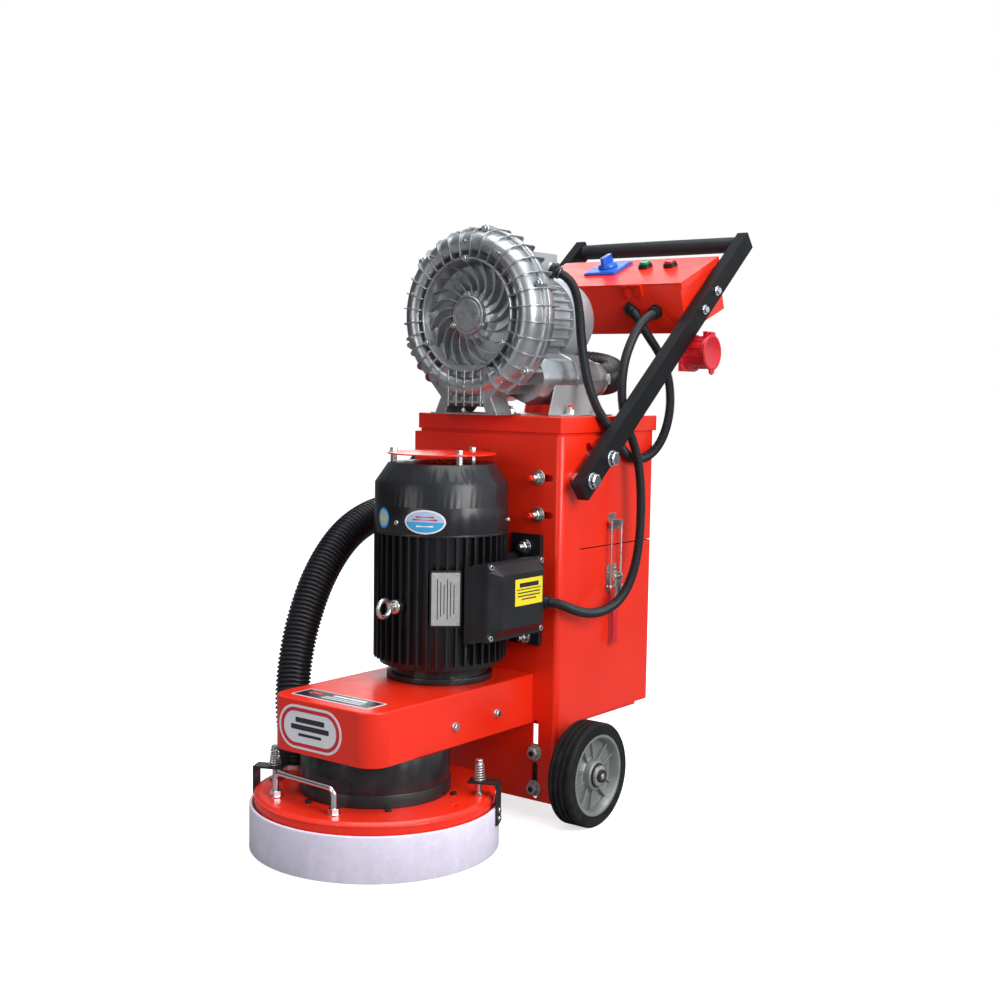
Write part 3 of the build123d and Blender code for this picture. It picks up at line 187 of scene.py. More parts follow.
RED = surface("red_enamel", (0.88, 0.024, 0.005), (0.81, 0.020, 0.004), rough=(0.28, 0.38), grain=520,
              bump=0.035, coat=0.12, dust=0.03, shine=0.42)
SLOT_MATERIALS = {
    "red_paint": RED,
    "black_paint": surface("black_enamel", (0.009, 0.009, 0.0105), (0.014, 0.014, 0.016), rough=(0.28, 0.42),
                           grain=500, bump=0.12, coat=0.1, dust=0.02, shine=0.4),
    "silver_paint": surface("silver_enamel", (0.52, 0.53, 0.54), (0.44, 0.45, 0.47), metallic=0.55,
                            rough=(0.3, 0.42), grain=700, bump=0.08),
    "zinc": surface("bright_zinc", (0.70, 0.70, 0.68), (0.58, 0.58, 0.55), metallic=1.0, rough=(0.25, 0.34),
                    blotch=60, grain=900, bump=0.06),
    "chrome_bar": surface("chrome", (0.80, 0.81, 0.83), (0.72, 0.73, 0.76), metallic=1.0, rough=(0.06, 0.14),
                          blotch=30, grain=900, bump=0.02),
    "steel": surface("turned_steel", (0.46, 0.46, 0.47), (0.36, 0.36, 0.37), metallic=1.0, rough=(0.25, 0.42),
                     blotch=30, grain=500, bump=0.1, stretch=(1, 1, 8)),
    "iron": surface("cast_iron", (0.12, 0.12, 0.125), (0.08, 0.078, 0.078), metallic=0.8, rough=(0.45, 0.65),
                    blotch=30, grain=420, bump=0.4),
    "cast_aluminium": surface("cast_aluminium", (0.50, 0.51, 0.52), (0.38, 0.39, 0.40), metallic=0.9,
                              rough=(0.26, 0.42), blotch=22, grain=650, bump=0.22, depth=0.4),
    "white_pvc": surface("white_pvc", (0.84, 0.77, 0.89), (0.78, 0.71, 0.84), rough=(0.36, 0.5), blotch=9,
                         grain=120, bump=0.05, dust=0.10, subsurface=0.35),
    "black_rubber": surface("black_rubber", (0.015, 0.016, 0.019), (0.021, 0.022, 0.026), rough=(0.42, 0.55),
                            grain=900, bump=0.2, shine=0.4),
    "tyre_rubber": surface("tyre_rubber", (0.007, 0.007, 0.008), (0.013, 0.013, 0.014), rough=(0.5, 0.68),
                           blotch=18, grain=700, bump=0.3, dust=0.03, shine=0.15),
    "black_plastic": surface("black_plastic", (0.008, 0.008, 0.010), (0.012, 0.012, 0.014), rough=(0.3, 0.42),
                             grain=800, bump=0.1, shine=0.35),
    "grey_plastic": surface("conduit_black", (0.012, 0.0125, 0.015), (0.018, 0.019, 0.022),
                            rough=(0.34, 0.48), grain=800, bump=0.08, shine=0.35),
    "red_plastic": surface("red_plastic", (0.66, 0.012, 0.022), (0.56, 0.010, 0.018), rough=(0.25, 0.36),
                           grain=700, bump=0.08),
    "green_plastic": surface("green_plastic", (0.005, 0.30, 0.13), (0.005, 0.24, 0.10), rough=(0.2, 0.3),
                             grain=900, bump=0.05),
    "blue_plastic": surface("blue_plastic", (0.018, 0.13, 0.60), (0.015, 0.10, 0.50), rough=(0.26, 0.36),
                            grain=800, bump=0.08),
    "diamond_bond": surface("diamond_bond", (0.30, 0.24, 0.16), (0.2, 0.17, 0.13), metallic=0.5,
                            rough=(0.6, 0.85), blotch=60, grain=900, bump=0.8, depth=0.8),
    "filter_cloth": surface("filter_cloth", (0.72, 0.71, 0.66), (0.62, 0.60, 0.55), rough=(0.75, 0.95),
                            grain=1200, bump=0.4, dust=0.1),
}


def film(name, colour, second, rough=(0.3, 0.4)):
    return surface(name, colour, second, rough=rough, grain=300, bump=0.04)


WHITE_LABEL = film("white_label", (0.80, 0.80, 0.82), (0.74, 0.74, 0.77))
RED_LABEL = film("red_label", (0.62, 0.02, 0.03), (0.55, 0.016, 0.024))
BLACK_LABEL = film("black_label", (0.016, 0.016, 0.02), (0.024, 0.024, 0.03), rough=(0.22, 0.34))
BLUE_LABEL = film("blue_label", (0.05, 0.36, 0.66), (0.045, 0.31, 0.6))
YELLOW_LABEL = film("yellow_label", (0.85, 0.68, 0.02), (0.8, 0.62, 0.02))
PALE_LABEL = surface("pale_label", (0.42, 0.55, 0.72), (0.38, 0.5, 0.68), rough=(0.3, 0.4), bump=0.04)
BRASS = surface("brass", (0.65, 0.45, 0.16), (0.55, 0.38, 0.13), metallic=1.0, rough=(0.25, 0.4), blotch=60,
                grain=900, bump=0.06)
HUB_CAST = surface("hub_cast", (0.34, 0.345, 0.335), (0.26, 0.265, 0.255), metallic=0.7, rough=(0.42, 0.58),
                   blotch=26, grain=600, bump=0.25, depth=0.4, shine=0.3)
DULL_ZINC = surface("dull_zinc", (0.46, 0.46, 0.44), (0.36, 0.36, 0.34), metallic=0.45, rough=(0.38, 0.55),
                    blotch=60, grain=900, bump=0.1)
ARM_BLACK = surface("arm_enamel", (0.0035, 0.0045, 0.0055), (0.006, 0.007, 0.008), rough=(0.4, 0.52),
                    grain=500, bump=0.1, shine=0.16)
PLATE_METAL = surface("nameplate", (0.62, 0.62, 0.60), (0.52, 0.52, 0.50), metallic=0.7, rough=(0.3, 0.45),
                      blotch=40, grain=700, bump=0.08)


# ---------------------------------------------------------------- mesh helpers
def shift(x, y, z):
    return Matrix.Translation((x, y, z))


def placed(origin, axis, side=None):
    """Matrix whose Z runs along axis and whose origin is in millimetres."""
    z = Vector(axis).normalized()
    x = Vector(side) if side else (X if abs(z.x) < 0.9 else Y)
    x = (x - z * x.dot(z)).normalized()
    y = z.cross(x)
    turn = Matrix((x, y, z)).transposed().to_4x4()
    return Matrix.Translation(origin) @ turn


def piece_from(bm, name, finish, body="chassis", slot=None, bevel=0.0, smooth=32, replaces=()):
    """Make a drawn mesh a piece, in metres, that rides on a body, or on none if it is to be blended.

    The finish is a slot's name, or a material for a finish that the record has no slot for.
    """
    if isinstance(finish, str):
        slot = finish
        finish = SLOT_MATERIALS[slot]
    bmesh.ops.remove_doubles(bm, verts=bm.verts, dist=0.005)
    bmesh.ops.dissolve_degenerate(bm, edges=bm.edges, dist=0.002)
    bmesh.ops.recalc_face_normals(bm, faces=bm.faces)
    bmesh.ops.scale(bm, vec=(MM, MM, MM), verts=bm.verts)
    mesh = bpy.data.meshes.new(name)
    bm.to_mesh(mesh)
    bm.free()
    mesh.materials.append(finish)
    mesh.shade_smooth()
    mesh.set_sharp_from_angle(angle=radians(smooth))
    piece = bpy.data.objects.new(name, mesh)
    bpy.context.scene.collection.objects.link(piece)
    if bevel:
        round_edges(piece, bevel)
    if body:
        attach(piece, body)
    if replaces:
        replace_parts(piece, *replaces)
    return piece


def turned(name, finish, where, profile, steps=64, **looks):
    """Make a piece of one turned outline. looks are piece_from's other values."""
    bm = bmesh.new()
    lathe(bm, where, profile, steps)
    piece_from(bm, name, finish, **looks)


def round_edges(piece, width):
    """Small radius on the sharp edges, so that they catch the light."""
    bevel = piece.modifiers.new("rounding", "BEVEL")
    bevel.width = width * MM
    bevel.segments = 2
    bevel.limit_method = "ANGLE"
    bevel.angle_limit = radians(38)
    bevel.harden_normals = True


def bridge(bm, rings, closed=False):
    """Join each ring of points to the next one, and the last to the first if closed."""
    for first, second in zip(rings, rings[1:] + rings[:1] if closed else rings[1:]):
        for k in range(len(first)):
            after = (k + 1) % len(first)
            bm.faces.new((first[k], first[after], second[after], second[k]))


def tube(bm, rings):
    """Bridged rings with a face over each end."""
    bridge(bm, rings)
    bm.faces.new(rings[0])
    bm.faces.new(rings[-1])


def lathe(bm, where, profile, steps=64):
    """Turn a closed outline of (radius, height) points about the Z of a matrix."""
    turns = [tau * k / steps for k in range(steps)]
    bridge(bm, [[bm.verts.new(where @ polar(radius, a, height)) for a in turns]
                for radius, height in profile], closed=True)


def prism(bm, where, outline, height, top=1.0):
    """Extrude a flat outline along the Z of a matrix. top scales the far end."""
    tube(bm, [[bm.verts.new(where @ Vector((x * scale, y * scale, level))) for x, y in outline]
              for scale, level in ((1.0, 0), (top, height))])


def brick(bm, first, second, where=Matrix()):
    """Box between two opposite corners."""
    low = [min(pair) for pair in zip(first, second)]
    wide, deep, tall = (abs(b - a) for a, b in zip(first, second))
    prism(bm, where @ shift(*low), [(0, 0), (wide, 0), (wide, deep), (0, deep)], tall)


def polar(radius, angle, height=0.0):
    """Point at an angle from +X towards +Y."""
    return Vector((radius * cos(angle), radius * sin(angle), height))


def oval(half_x, half_y, steps=24):
    return [(half_x * cos(tau * k / steps), half_y * sin(tau * k / steps)) for k in range(steps)]


def circle(radius, steps=32):
    return oval(radius, radius, steps)


def rounded(width, height, radius, steps=6):
    """Outline of a rectangle with round corners."""
    points = []
    corners = ((1, 1, 0), (-1, 1, 1), (-1, -1, 2), (1, -1, 3))
    for sx, sy, quarter in corners:
        centre = (sx * (width / 2 - radius), sy * (height / 2 - radius))
        for k in range(steps + 1):
            a = pi / 2 * (quarter + k / steps)
            points.append((centre[0] + radius * cos(a), centre[1] + radius * sin(a)))
    return points


def hex_bolt(bm, where, across, height, washer=0.0, stud=0.0):
    """Domed hexagon with a washer under it and a threaded stud through it."""
    base = 0.0
    if washer:
        lathe(bm, where, [(0, 0), (washer, 0), (washer, 1.6), (washer - 0.5, 2.1), (0, 2.1)], 32)
        base = 2.1
    seat = where @ shift(0, 0, base)
    corner = across / sqrt(3)
    prism(bm, seat, circle(corner, 6), height * 0.82)
    cap = seat @ shift(0, 0, height * 0.82)
    prism(bm, cap, circle(corner, 6), height * 0.18, top=0.86)
    if stud:
        profile = [(0, 0)]
        turns = int(stud / 1.5)
        for k in range(turns):
            profile += [(across * 0.29, k * 1.5), (across * 0.25, k * 1.5 + 0.75)]
        profile += [(across * 0.24, stud), (0, stud)]
        lathe(bm, seat @ shift(0, 0, height - 0.4), profile, 20)


def socket_screw(bm, where, radius, height):
    """Round head with a hexagon recess."""
    outer = circle(radius, 24)
    inner = circle(radius * 0.5, 24)
    levels = [(outer, 0), (outer, height - 0.6), ([(x * 0.92, y * 0.92) for x, y in outer], height),
              (inner, height), (inner, height * 0.45)]
    tube(bm, [[bm.verts.new(where @ Vector((x, y, level))) for x, y in ring] for ring, level in levels])


def sweep(bm, line, radii, sides, closed=False):
    """Tube along a line with one radius for each point."""
    rings = []
    count = len(line)
    side = None
    for k, point in enumerate(line):
        before = line[(k - 1) % count] if closed or k else point
        after = line[(k + 1) % count] if closed or k < count - 1 else point
        ahead = (after - before).normalized()
        if side is None:
            side = ahead.orthogonal().normalized()
        side = (side - ahead * side.dot(ahead)).normalized()
        other = ahead.cross(side)
        turns = [tau * j / sides for j in range(sides)]
        rings.append([bm.verts.new(point + (side * cos(a) + other * sin(a)) * radii[k]) for a in turns])
    if closed:
        bridge(bm, rings, closed=True)
    else:
        tube(bm, rings)


def patch(name, outline, onto, material, thick=0.5, rings=5):
    """Thin label: an outline filled with rings and laid onto a surface by a function of (u, v, height)."""
    bm = bmesh.new()
    layers = []
    for height in (-0.4, thick):
        shares = [r / rings for r in range(1, rings + 1)]
        layer = [[bm.verts.new(onto(u * share, v * share, height)) for u, v in outline] for share in shares]
        middle = bm.verts.new(onto(0, 0, height))
        for k in range(len(outline)):
            bm.faces.new((middle, layer[0][k - 1], layer[0][k]))
        bridge(bm, layer)
        layers.append(layer[-1])
    bridge(bm, layers)
    piece_from(bm, name, material)


def box_mm(node):
    low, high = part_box(node)
    return low / MM, high / MM


def centre_mm(node):
    low, high = box_mm(node)
    return (low + high) / 2


# ---------------------------------------------------------------- cords
def route_line(name, points):
    """Points along the smooth spline that a cord follows."""
    curve = bpy.data.curves.new(name + "_route", "CURVE")
    curve.dimensions = "3D"
    curve.resolution_u = 16
    spline = curve.splines.new("NURBS")
    spline.points.add(len(points) - 1)
    for knot, point in zip(spline.points, points):
        knot.co = (*point, 1)
    spline.order_u = 3
    spline.use_endpoint_u = True
    holder = bpy.data.objects.new(name + "_route", curve)
    mesh = bpy.data.meshes.new_from_object(holder)
    line = [vertex.co.copy() for vertex in mesh.vertices]
    bpy.data.objects.remove(holder)
    bpy.data.curves.remove(curve)
    bpy.data.meshes.remove(mesh)
    return line


def even_line(line, step):
    """The same line with points a fixed distance apart."""
    total = sum((b - a).length for a, b in zip(line, line[1:]))
    count = max(2, round(total / step))
    spacing = total / count
    points = [line[0]]
    left = spacing
    for a, b in zip(line, line[1:]):
        run = (b - a).length
        at = 0.0
        while run - at >= left and len(points) < count:
            at += left
            points.append(a.lerp(b, at / run))
            left = spacing
        left -= run - at
    return points + [line[-1]], total


def corrugated(name, points, diameter, pitch, depth, sides, finish, bend=None):
    """Ribbed hose or conduit along a route.

    bend, when given, leaves the piece on no body, with its placement baked into its mesh; the stretch it holds is
    not read.
    """
    line, total = even_line(route_line(name, points), pitch / 4)
    pattern = (0.0, 0.0, depth * 0.8, depth)
    radii = [diameter / 2 - pattern[k % 4] for k in range(len(line))]
    radii[0] = radii[-1] = diameter / 2 - depth
    bm = bmesh.new()
    sweep(bm, [p / MM for p in line], [r / MM for r in radii], sides)
    body = None if bend else "chassis"
    piece = piece_from(bm, name + "_ribbed", finish, body, smooth=60, replaces=(name,))
    if bend:
        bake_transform(piece)


DUST_ROUTE = [(-0.180, -0.025, 0.120), (-0.180, -0.025, 0.165), (-0.192, -0.024, 0.225),
              (-0.205, -0.006, 0.300), (-0.213, 0.025, 0.382), (-0.219, 0.076, 0.468), (-0.223, 0.150, 0.538),
              (-0.226, 0.240, 0.572), (-0.228, 0.330, 0.576), (-0.228, 0.400, 0.576)]
ELBOW_ROUTE = [(0.0748, 0.584, 0.848), (0.0748, 0.624, 0.848), (0.065, 0.664, 0.858), (0.036, 0.692, 0.868),
               (-0.006, 0.702, 0.876), (-0.046, 0.692, 0.878), (-0.074, 0.662, 0.864), (-0.084, 0.622, 0.832),
               (-0.084, 0.612, 0.796)]
CONTROL_ROUTE = [(0.080, 0.441, 1.056), (0.096, 0.4494, 1.0474), (0.110, 0.456, 1.018), (0.118, 0.457, 0.978),
                 (0.128, 0.448, 0.936), (0.142, 0.437, 0.890), (0.160, 0.428, 0.842), (0.178, 0.428, 0.800),
                 (0.188, 0.442, 0.772), (0.188, 0.472, 0.748), (0.186, 0.506, 0.718), (0.184, 0.545, 0.694),
                 (0.184, 0.590, 0.686), (0.185, 0.636, 0.698), (0.187, 0.670, 0.726), (0.188, 0.692, 0.766),
                 (0.186, 0.702, 0.810), (0.178, 0.704, 0.858), (0.160, 0.696, 0.905), (0.132, 0.690, 0.944),
                 (0.100, 0.703, 0.9799), (0.0842, 0.714, 0.9905)]
MOTOR_ROUTE = [(0.1346, 0.7042, 0.9878), (0.140, 0.670, 0.9773), (0.149, 0.628, 0.958), (0.160, 0.584, 0.928),
               (0.170, 0.546, 0.892), (0.179, 0.521, 0.850), (0.186, 0.512, 0.806), (0.191, 0.519, 0.764),
               (0.204, 0.530, 0.726), (0.213, 0.537, 0.684), (0.216, 0.543, 0.636), (0.216, 0.546, 0.584),
               (0.216, 0.543, 0.532), (0.216, 0.531, 0.482), (0.216, 0.505, 0.438), (0.216, 0.466, 0.410),
               (0.216, 0.420, 0.399), (0.216, 0.374, 0.399), (0.215, 0.332, 0.408), (0.208, 0.300, 0.420),
               (0.196, 0.2845, 0.428), (0.182, 0.281, 0.428)]
HOSE_D = 0.066
CONDUIT_D = 0.019
corrugated("dust_hose", DUST_ROUTE, HOSE_D, 0.008, 0.0035, 48, "black_plastic")
corrugated("elbow_hose", ELBOW_ROUTE, HOSE_D, 0.010, 0.0035, 48, "black_plastic")
corrugated("control_conduit", CONTROL_ROUTE, CONDUIT_D, 0.0032, 0.0013, 20, "grey_plastic",
           bend=((0, 0.46, 0), (0, 0.69, 0)))
corrugated("motor_conduit", MOTOR_ROUTE, CONDUIT_D, 0.0032, 0.0013, 20, "grey_plastic",
           bend=((0, 0, 0.45), (0, 0, 0.80)))


def hose_clamp(name, centre, axis, radius, width):
    """Worm-drive band with its screw housing."""
    bm = bmesh.new()
    where = placed(centre, axis)
    lathe(bm, where, [(radius, 0), (radius + 1.4, 0.3), (radius + 1.4, width - 0.3), (radius, width)], 72)
    screw = where @ shift(radius + 2, 0, width / 2)
    brick(bm, (-2, -8, -width / 2 + 0.5), (4, 8, width / 2 - 0.5), screw)
    lathe(bm, screw @ placed((1, -12, 0), Y), [(0, 0), (3.6, 0), (3.6, 21), (0, 21)], 24)
    piece_from(bm, name, "zinc")


hose_clamp("dust_hose_clamp", Vector(DUST_ROUTE[0]) / MM - Z * 6, Z, 34.2, 9)
hose_clamp("dust_hose_top_clamp", Vector((-228, 404, 576)), Y, 33.6, 9)
hose_clamp("suction_clamp", Vector((74.8, 571, 848)), Y, 33.6, 9)


# ---------------------------------------------------------------- CAD nodes that stay
OWN_FINISH = {"handle_arms": ARM_BLACK}


def dress_frame():
    """Give every CAD node its slot's finish and a small radius on its sharp edges."""
    for row in frame["record"]["subparts"]:
        node = frame["nodes"][row["node"]]
        node.data.materials.clear()
        node.data.materials.append(OWN_FINISH.get(row["node"], SLOT_MATERIALS[row["material_slot"]]))
        weld = node.modifiers.new("weld", "WELD")
        weld.merge_threshold = 0.00001
        flatten = node.modifiers.new("flatten", "DECIMATE")
        flatten.decimate_type = "DISSOLVE"
        flatten.angle_limit = radians(0.6)
        round_edges(node, 0.7)


dress_frame()


# ---------------------------------------------------------------- blower
BLOWER = centre_mm("blower_rotor")
LID_TOP = 776.0             # face of the filter lid that the blower stands on
PORT_LEVEL = 848.0          # axis of the silencers
PORT_SIDE = 87.0            # silencer to blower axis
BLOWER_FACE = placed((BLOWER.x, 0, BLOWER.z), Y, X)     # local X is +X, local Y is -Z, local Z is +Y


def radial(angle):
    """Plane through the blower axis at an angle from +X towards +Z: local X is the radius, local Y is +Y."""
    out = Vector((cos(angle), 0, sin(angle)))
    return placed((BLOWER.x, 0, BLOWER.z), out.cross(Y), out)


def blower_shell():
    section = [(36, 271), (40, 283), (52, 287), (96, 287), (103, 278), (105, 260), (106, 257.6),
               (109.5, 257.6), (111, 260), (111.5, 274), (120, 276), (121, 266), (125, 260.5), (131, 257),
               (139, 256), (147, 258), (154, 263), (159, 271), (161, 281), (161.5, 289), (168, 290),
               (168.5, 292), (168.5, 300), (167.5, 301.5), (168.5, 303), (168.5, 311), (167, 313), (162, 314),
               (161, 328), (157, 334), (148, 338), (120, 345), (60, 347), (60, 359), (20, 359), (20, 320),
               (100, 320), (100, 300), (20, 300), (20, 271)]
    turned("blower_shell", "cast_aluminium", BLOWER_FACE, section, 128, bevel=0.5, smooth=40,
           replaces=("blower_casing",))


def blower_fins():
    bm = bmesh.new()
    outer = [(108, 262), (109.5, 254.5), (113, 253), (128, 253.5), (139, 252), (150, 254), (158, 259.5),
             (164, 268), (167, 279), (168.5, 288), (171.5, 290), (171.5, 330), (168, 336), (158, 337),
             (158, 295), (120, 290), (113, 280)]
    count = 32
    for k in range(count):
        angle = tau * (k + 0.5) / count
        down = abs(((angle - 1.5 * pi + pi) % tau) - pi)
        if down < radians(20):
            continue
        where = radial(angle)
        prism(bm, where @ shift(0, 0, -1.2), outer, 2.4)
    piece_from(bm, "blower_fins", "cast_aluminium", bevel=0.5)


def bowl_fins():
    """Curved cooling fins in the front bowl: they sweep round as they go out."""
    bm = bmesh.new()
    steps = 9
    count = 18
    for k in range(count):
        start = tau * k / count
        rows = []
        for s in range(steps + 1):
            share = s / steps
            radius = 38 + 64 * share
            angle = start + 0.62 * share ** 1.4
            next_angle = start + 0.62 * (share + 0.02) ** 1.4
            here = Vector((radius * cos(angle), 0, radius * sin(angle)))
            ahead = Vector(((radius + 1.28) * cos(next_angle), 0, (radius + 1.28) * sin(next_angle)))
            side = (ahead - here).normalized().cross(Y)
            top = 270 + 2 * share - 3 * sin(pi * share)
            centre = Vector((BLOWER.x, 0, BLOWER.z)) + here
            rows.append([bm.verts.new(centre + side * flank + Y * depth)
                         for flank, depth in ((-1.4, 288), (-0.8, top), (0.8, top), (1.4, 288))])
        tube(bm, rows)
    piece_from(bm, "blower_bowl_fins", "cast_aluminium", bevel=0.3)


def blower_hub():
    bm = bmesh.new()
    lathe(bm, BLOWER_FACE, [(0, 263.4), (28, 263.4), (29.5, 264.4), (29.5, 267), (32.5, 267), (33.5, 264.5),
                            (35.5, 264.5), (37, 266), (38, 274), (47, 277), (50, 282), (58, 287),
                            (0, 287)], 96)
    for k in range(3):
        where = radial(pi / 2 + tau * k / 3)
        lug = where @ shift(39, 0, 0) @ Matrix.Rotation(radians(-90), 4, "X")
        lathe(bm, lug, [(0, 262), (6, 262), (6.6, 263), (7.5, 287), (0, 287)], 24)
    piece_from(bm, "blower_hub", "cast_aluminium", bevel=0.3)


def front_place(radius, angle, depth):
    """Place on the blower's front, at a radius and an angle, with local Z pointing forward."""
    origin = Vector((BLOWER.x + radius * cos(angle), depth, BLOWER.z + radius * sin(angle)))
    return placed(origin, -Y)


def blower_bolts():
    bm = bmesh.new()
    for k in range(3):
        socket_screw(bm, front_place(39, pi / 2 + tau * k / 3, 262.5), 4.6, 4.4)
        socket_screw(bm, front_place(107, pi / 2 + tau * k / 3, 255.5), 5.2, 5.0)
    for k in range(6):
        socket_screw(bm, front_place(167, radians(20 + 60 * k), 279), 5.0, 5.5)
    piece_from(bm, "blower_bolts", "zinc", bevel=0.2)
    lugs = bmesh.new()
    for k in range(6):
        where = front_place(166, radians(20 + 60 * k), 300)
        lathe(lugs, where, [(0, 0), (8.5, 0), (8.5, 19), (7.5, 20.5), (0, 20.5)], 28)
    for k in range(3):
        where = front_place(107, pi / 2 + tau * k / 3, 270)
        lathe(lugs, where, [(0, 0), (7.5, 0), (7, 14), (0, 14.6)], 28)
    for k in range(10):
        where = front_place(139, radians(18 + 36 * k), 258)
        lathe(lugs, where, [(0, 0), (4, 0), (3.4, 8), (1.6, 8), (1.6, 5), (0, 5)], 20)
    piece_from(lugs, "blower_lugs", "cast_aluminium", bevel=0.3)


def blower_foot():
    """Port block with ribs, splayed legs and the base plate on the lid."""
    bm = bmesh.new()
    cx = BLOWER.x
    brick(bm, (cx - 46, 268, LID_TOP + 22), (cx + 46, 312, 872))
    for k in range(5):
        x = cx - 40 + 20 * k
        brick(bm, (x - 1.5, 256.5, LID_TOP + 16), (x + 1.5, 300, 862))
    brick(bm, (cx - 46, 257, LID_TOP + 22), (cx + 46, 262, LID_TOP + 27))
    for side in SIDES:
        outline = [(side * 40, 872), (side * 82, 866), (side * 88, 838), (side * 62, LID_TOP + 34),
                   (side * 76, LID_TOP + 4), (side * 50, LID_TOP + 4), (side * 36, LID_TOP + 40)]
        prism(bm, placed((cx, 312, 0), -Y, X), outline[::side], 50)
    brick(bm, (cx - 86, 260, LID_TOP + 0.4), (cx + 78, 338, LID_TOP + 4))
    piece_from(bm, "blower_foot", "cast_aluminium", bevel=1.2)
    for side in SIDES:
        bolt = bmesh.new()
        hex_bolt(bolt, placed((cx + side * 62, 326, LID_TOP + 4), Z), 13, 7, washer=11, stud=6)
        piece_from(bolt, "blower_foot_bolt_" + ("left" if side < 0 else "right"), "zinc")


blower_shell()
blower_fins()
bowl_fins()
blower_hub()
blower_bolts()
blower_foot()


def silencer(name, x, end, open_end, replaces=()):
    """Eight-sided cast silencer that turns round towards its mouth."""
    stations = [(336, 45, 0.7), (346, 47.5, 1), (352, 49, 1), (440, 49, 1), (443, 50.6, 1), (447, 50.6, 1),
                (450, 48.6, 1), (528, 45.5, 1), (545, 41, 0.7)]
    if open_end:
        stations += [(560, 35, 0.1), (end - 6, 32.6, 0), (end - 6, 28, 0), (552, 28, 0)]
    else:
        stations += [(550, 26, 0.3)]
    bm = bmesh.new()
    rings = []
    sides = 96
    sharpness = 22
    for y, radius, corner in stations:
        ring = []
        for k in range(sides):
            a = tau * k / sides
            total = sum(abs(cos(a - pi / 4 * j - pi / 8)) ** sharpness for j in range(4))
            octagon = radius / total ** (1 / sharpness)
            r = radius + (octagon - radius) * corner
            ring.append(bm.verts.new((x + r * cos(a), y, PORT_LEVEL + r * sin(a))))
        rings.append(ring)
    tube(bm, rings)
    piece_from(bm, name, "cast_aluminium", smooth=24, replaces=replaces)


silencer("suction_silencer", BLOWER.x + PORT_SIDE, 584, True, ("silencers",))
silencer("exhaust_silencer", BLOWER.x - PORT_SIDE, 550, False)


def silencer_bracket():
    bm = bmesh.new()
    left, top = 120.2, LID_TOP + 3.2
    brick(bm, (left, 352, LID_TOP + 0.3), (152, 530, top))
    outline = [(352, 779), (530, 779), (505, 838), (372, 838)]
    prism(bm, placed((left, 0, 0), X, Y), outline, 2.6)
    piece_from(bm, "silencer_bracket", "silver_paint", bevel=0.6)
    for k, y in enumerate((404, 500)):
        bolt = bmesh.new()
        hex_bolt(bolt, placed((137, y, top), Z), 14, 8, washer=12, stud=4)
        piece_from(bolt, f"bracket_bolt_{k}", "zinc")
        section = [(0, 0), (4.6, 0), (4.6, 4), (3.8, 5.2), (0, 5.2)]
        turned(f"bracket_cap_{k}", "red_paint", placed((137, y, top + 13.8), Z), section, 20)


silencer_bracket()


def blower_gland():
    """Black cable gland on the blower's terminal box."""
    mouth = Vector(CONTROL_ROUTE[0]) / MM
    out = (Vector(CONTROL_ROUTE[1]) - Vector(CONTROL_ROUTE[0])).normalized()
    bm = bmesh.new()
    section = [(9, 0), (13.4, 0), (13.4, 14), (12.9, 15), (12.9, 21), (11, 23.4), (9.6, 23.4), (9.0, 22)]
    lathe(bm, placed(mouth - out * 22, out), section, 40)
    lathe(bm, placed(mouth - out * 15, out), [(9, 0), (17, 0), (17, 7), (9, 7)], 6)
    piece_from(bm, "blower_gland", "black_plastic", bevel=0.4)


blower_gland()


# ---------------------------------------------------------------- grinding head
COVER = box_mm("cover_disc")
DRUM = box_mm("spindle_housing")
SPINDLE = placed((0, 0, 0), Z)
COVER_TOP = 101.5
ROD_CIRCLE = 193.0
ROD_TOP = 158.0
ROD_ANGLES = (radians(26), radians(206))


def skirt_spring(name, angle):
    """Conical coil spring between the skirt bracket and the rod's head."""
    low, high = box_mm("skirt_springs")
    low, high = low.z + 1.1, high.z - 1.1
    centre = polar(ROD_CIRCLE, angle)
    turns = 7.5
    count = 180
    line = []
    for k in range(count + 1):
        share = k / count
        radius = 11.0 - 3.4 * share
        a = tau * turns * share
        eased = min(1.0, max(0.0, (share - 0.08) / 0.84))
        line.append(centre + polar(radius, a, low + (high - low) * eased))
    bm = bmesh.new()
    sweep(bm, line, [1.05] * len(line), 10)
    piece = piece_from(bm, name, "zinc", smooth=60)
    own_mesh(piece)
    return piece


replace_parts(skirt_spring("skirt_spring_right", ROD_ANGLES[0]), "skirt_springs")
skirt_spring("skirt_spring_left", ROD_ANGLES[1])


def guide_rod(name, angle):
    bm = bmesh.new()
    where = placed(polar(ROD_CIRCLE, angle, COVER_TOP), Z)
    top = ROD_TOP - COVER_TOP
    lathe(bm, where, [(0, 0), (9.5, 0), (10, 0.8), (10, 3.4), (9, 4), (5, 4), (5, top), (8, top),
                      (8, top + 1.2), (0, top + 1.2)], 32)
    hex_bolt(bm, where @ shift(0, 0, top + 1.2), 13, 6.8)
    return piece_from(bm, name, "zinc", bevel=0.25)


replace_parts(guide_rod("guide_rod_right", ROD_ANGLES[0]), "guide_rods")
guide_rod("guide_rod_left", ROD_ANGLES[1])


def bracket_screws():
    bm = bmesh.new()
    for angle in ROD_ANGLES:
        out = polar(1, angle)
        for z in (60, 75):
            where = placed(out * 231.2 + Z * z, out)
            lathe(bm, where, [(0, 0), (5, 0), (4.8, 1.4), (3.6, 2.9), (1.8, 3.6), (0, 3.8)], 24)
    piece_from(bm, "skirt_screws", "zinc", "skirt")


bracket_screws()


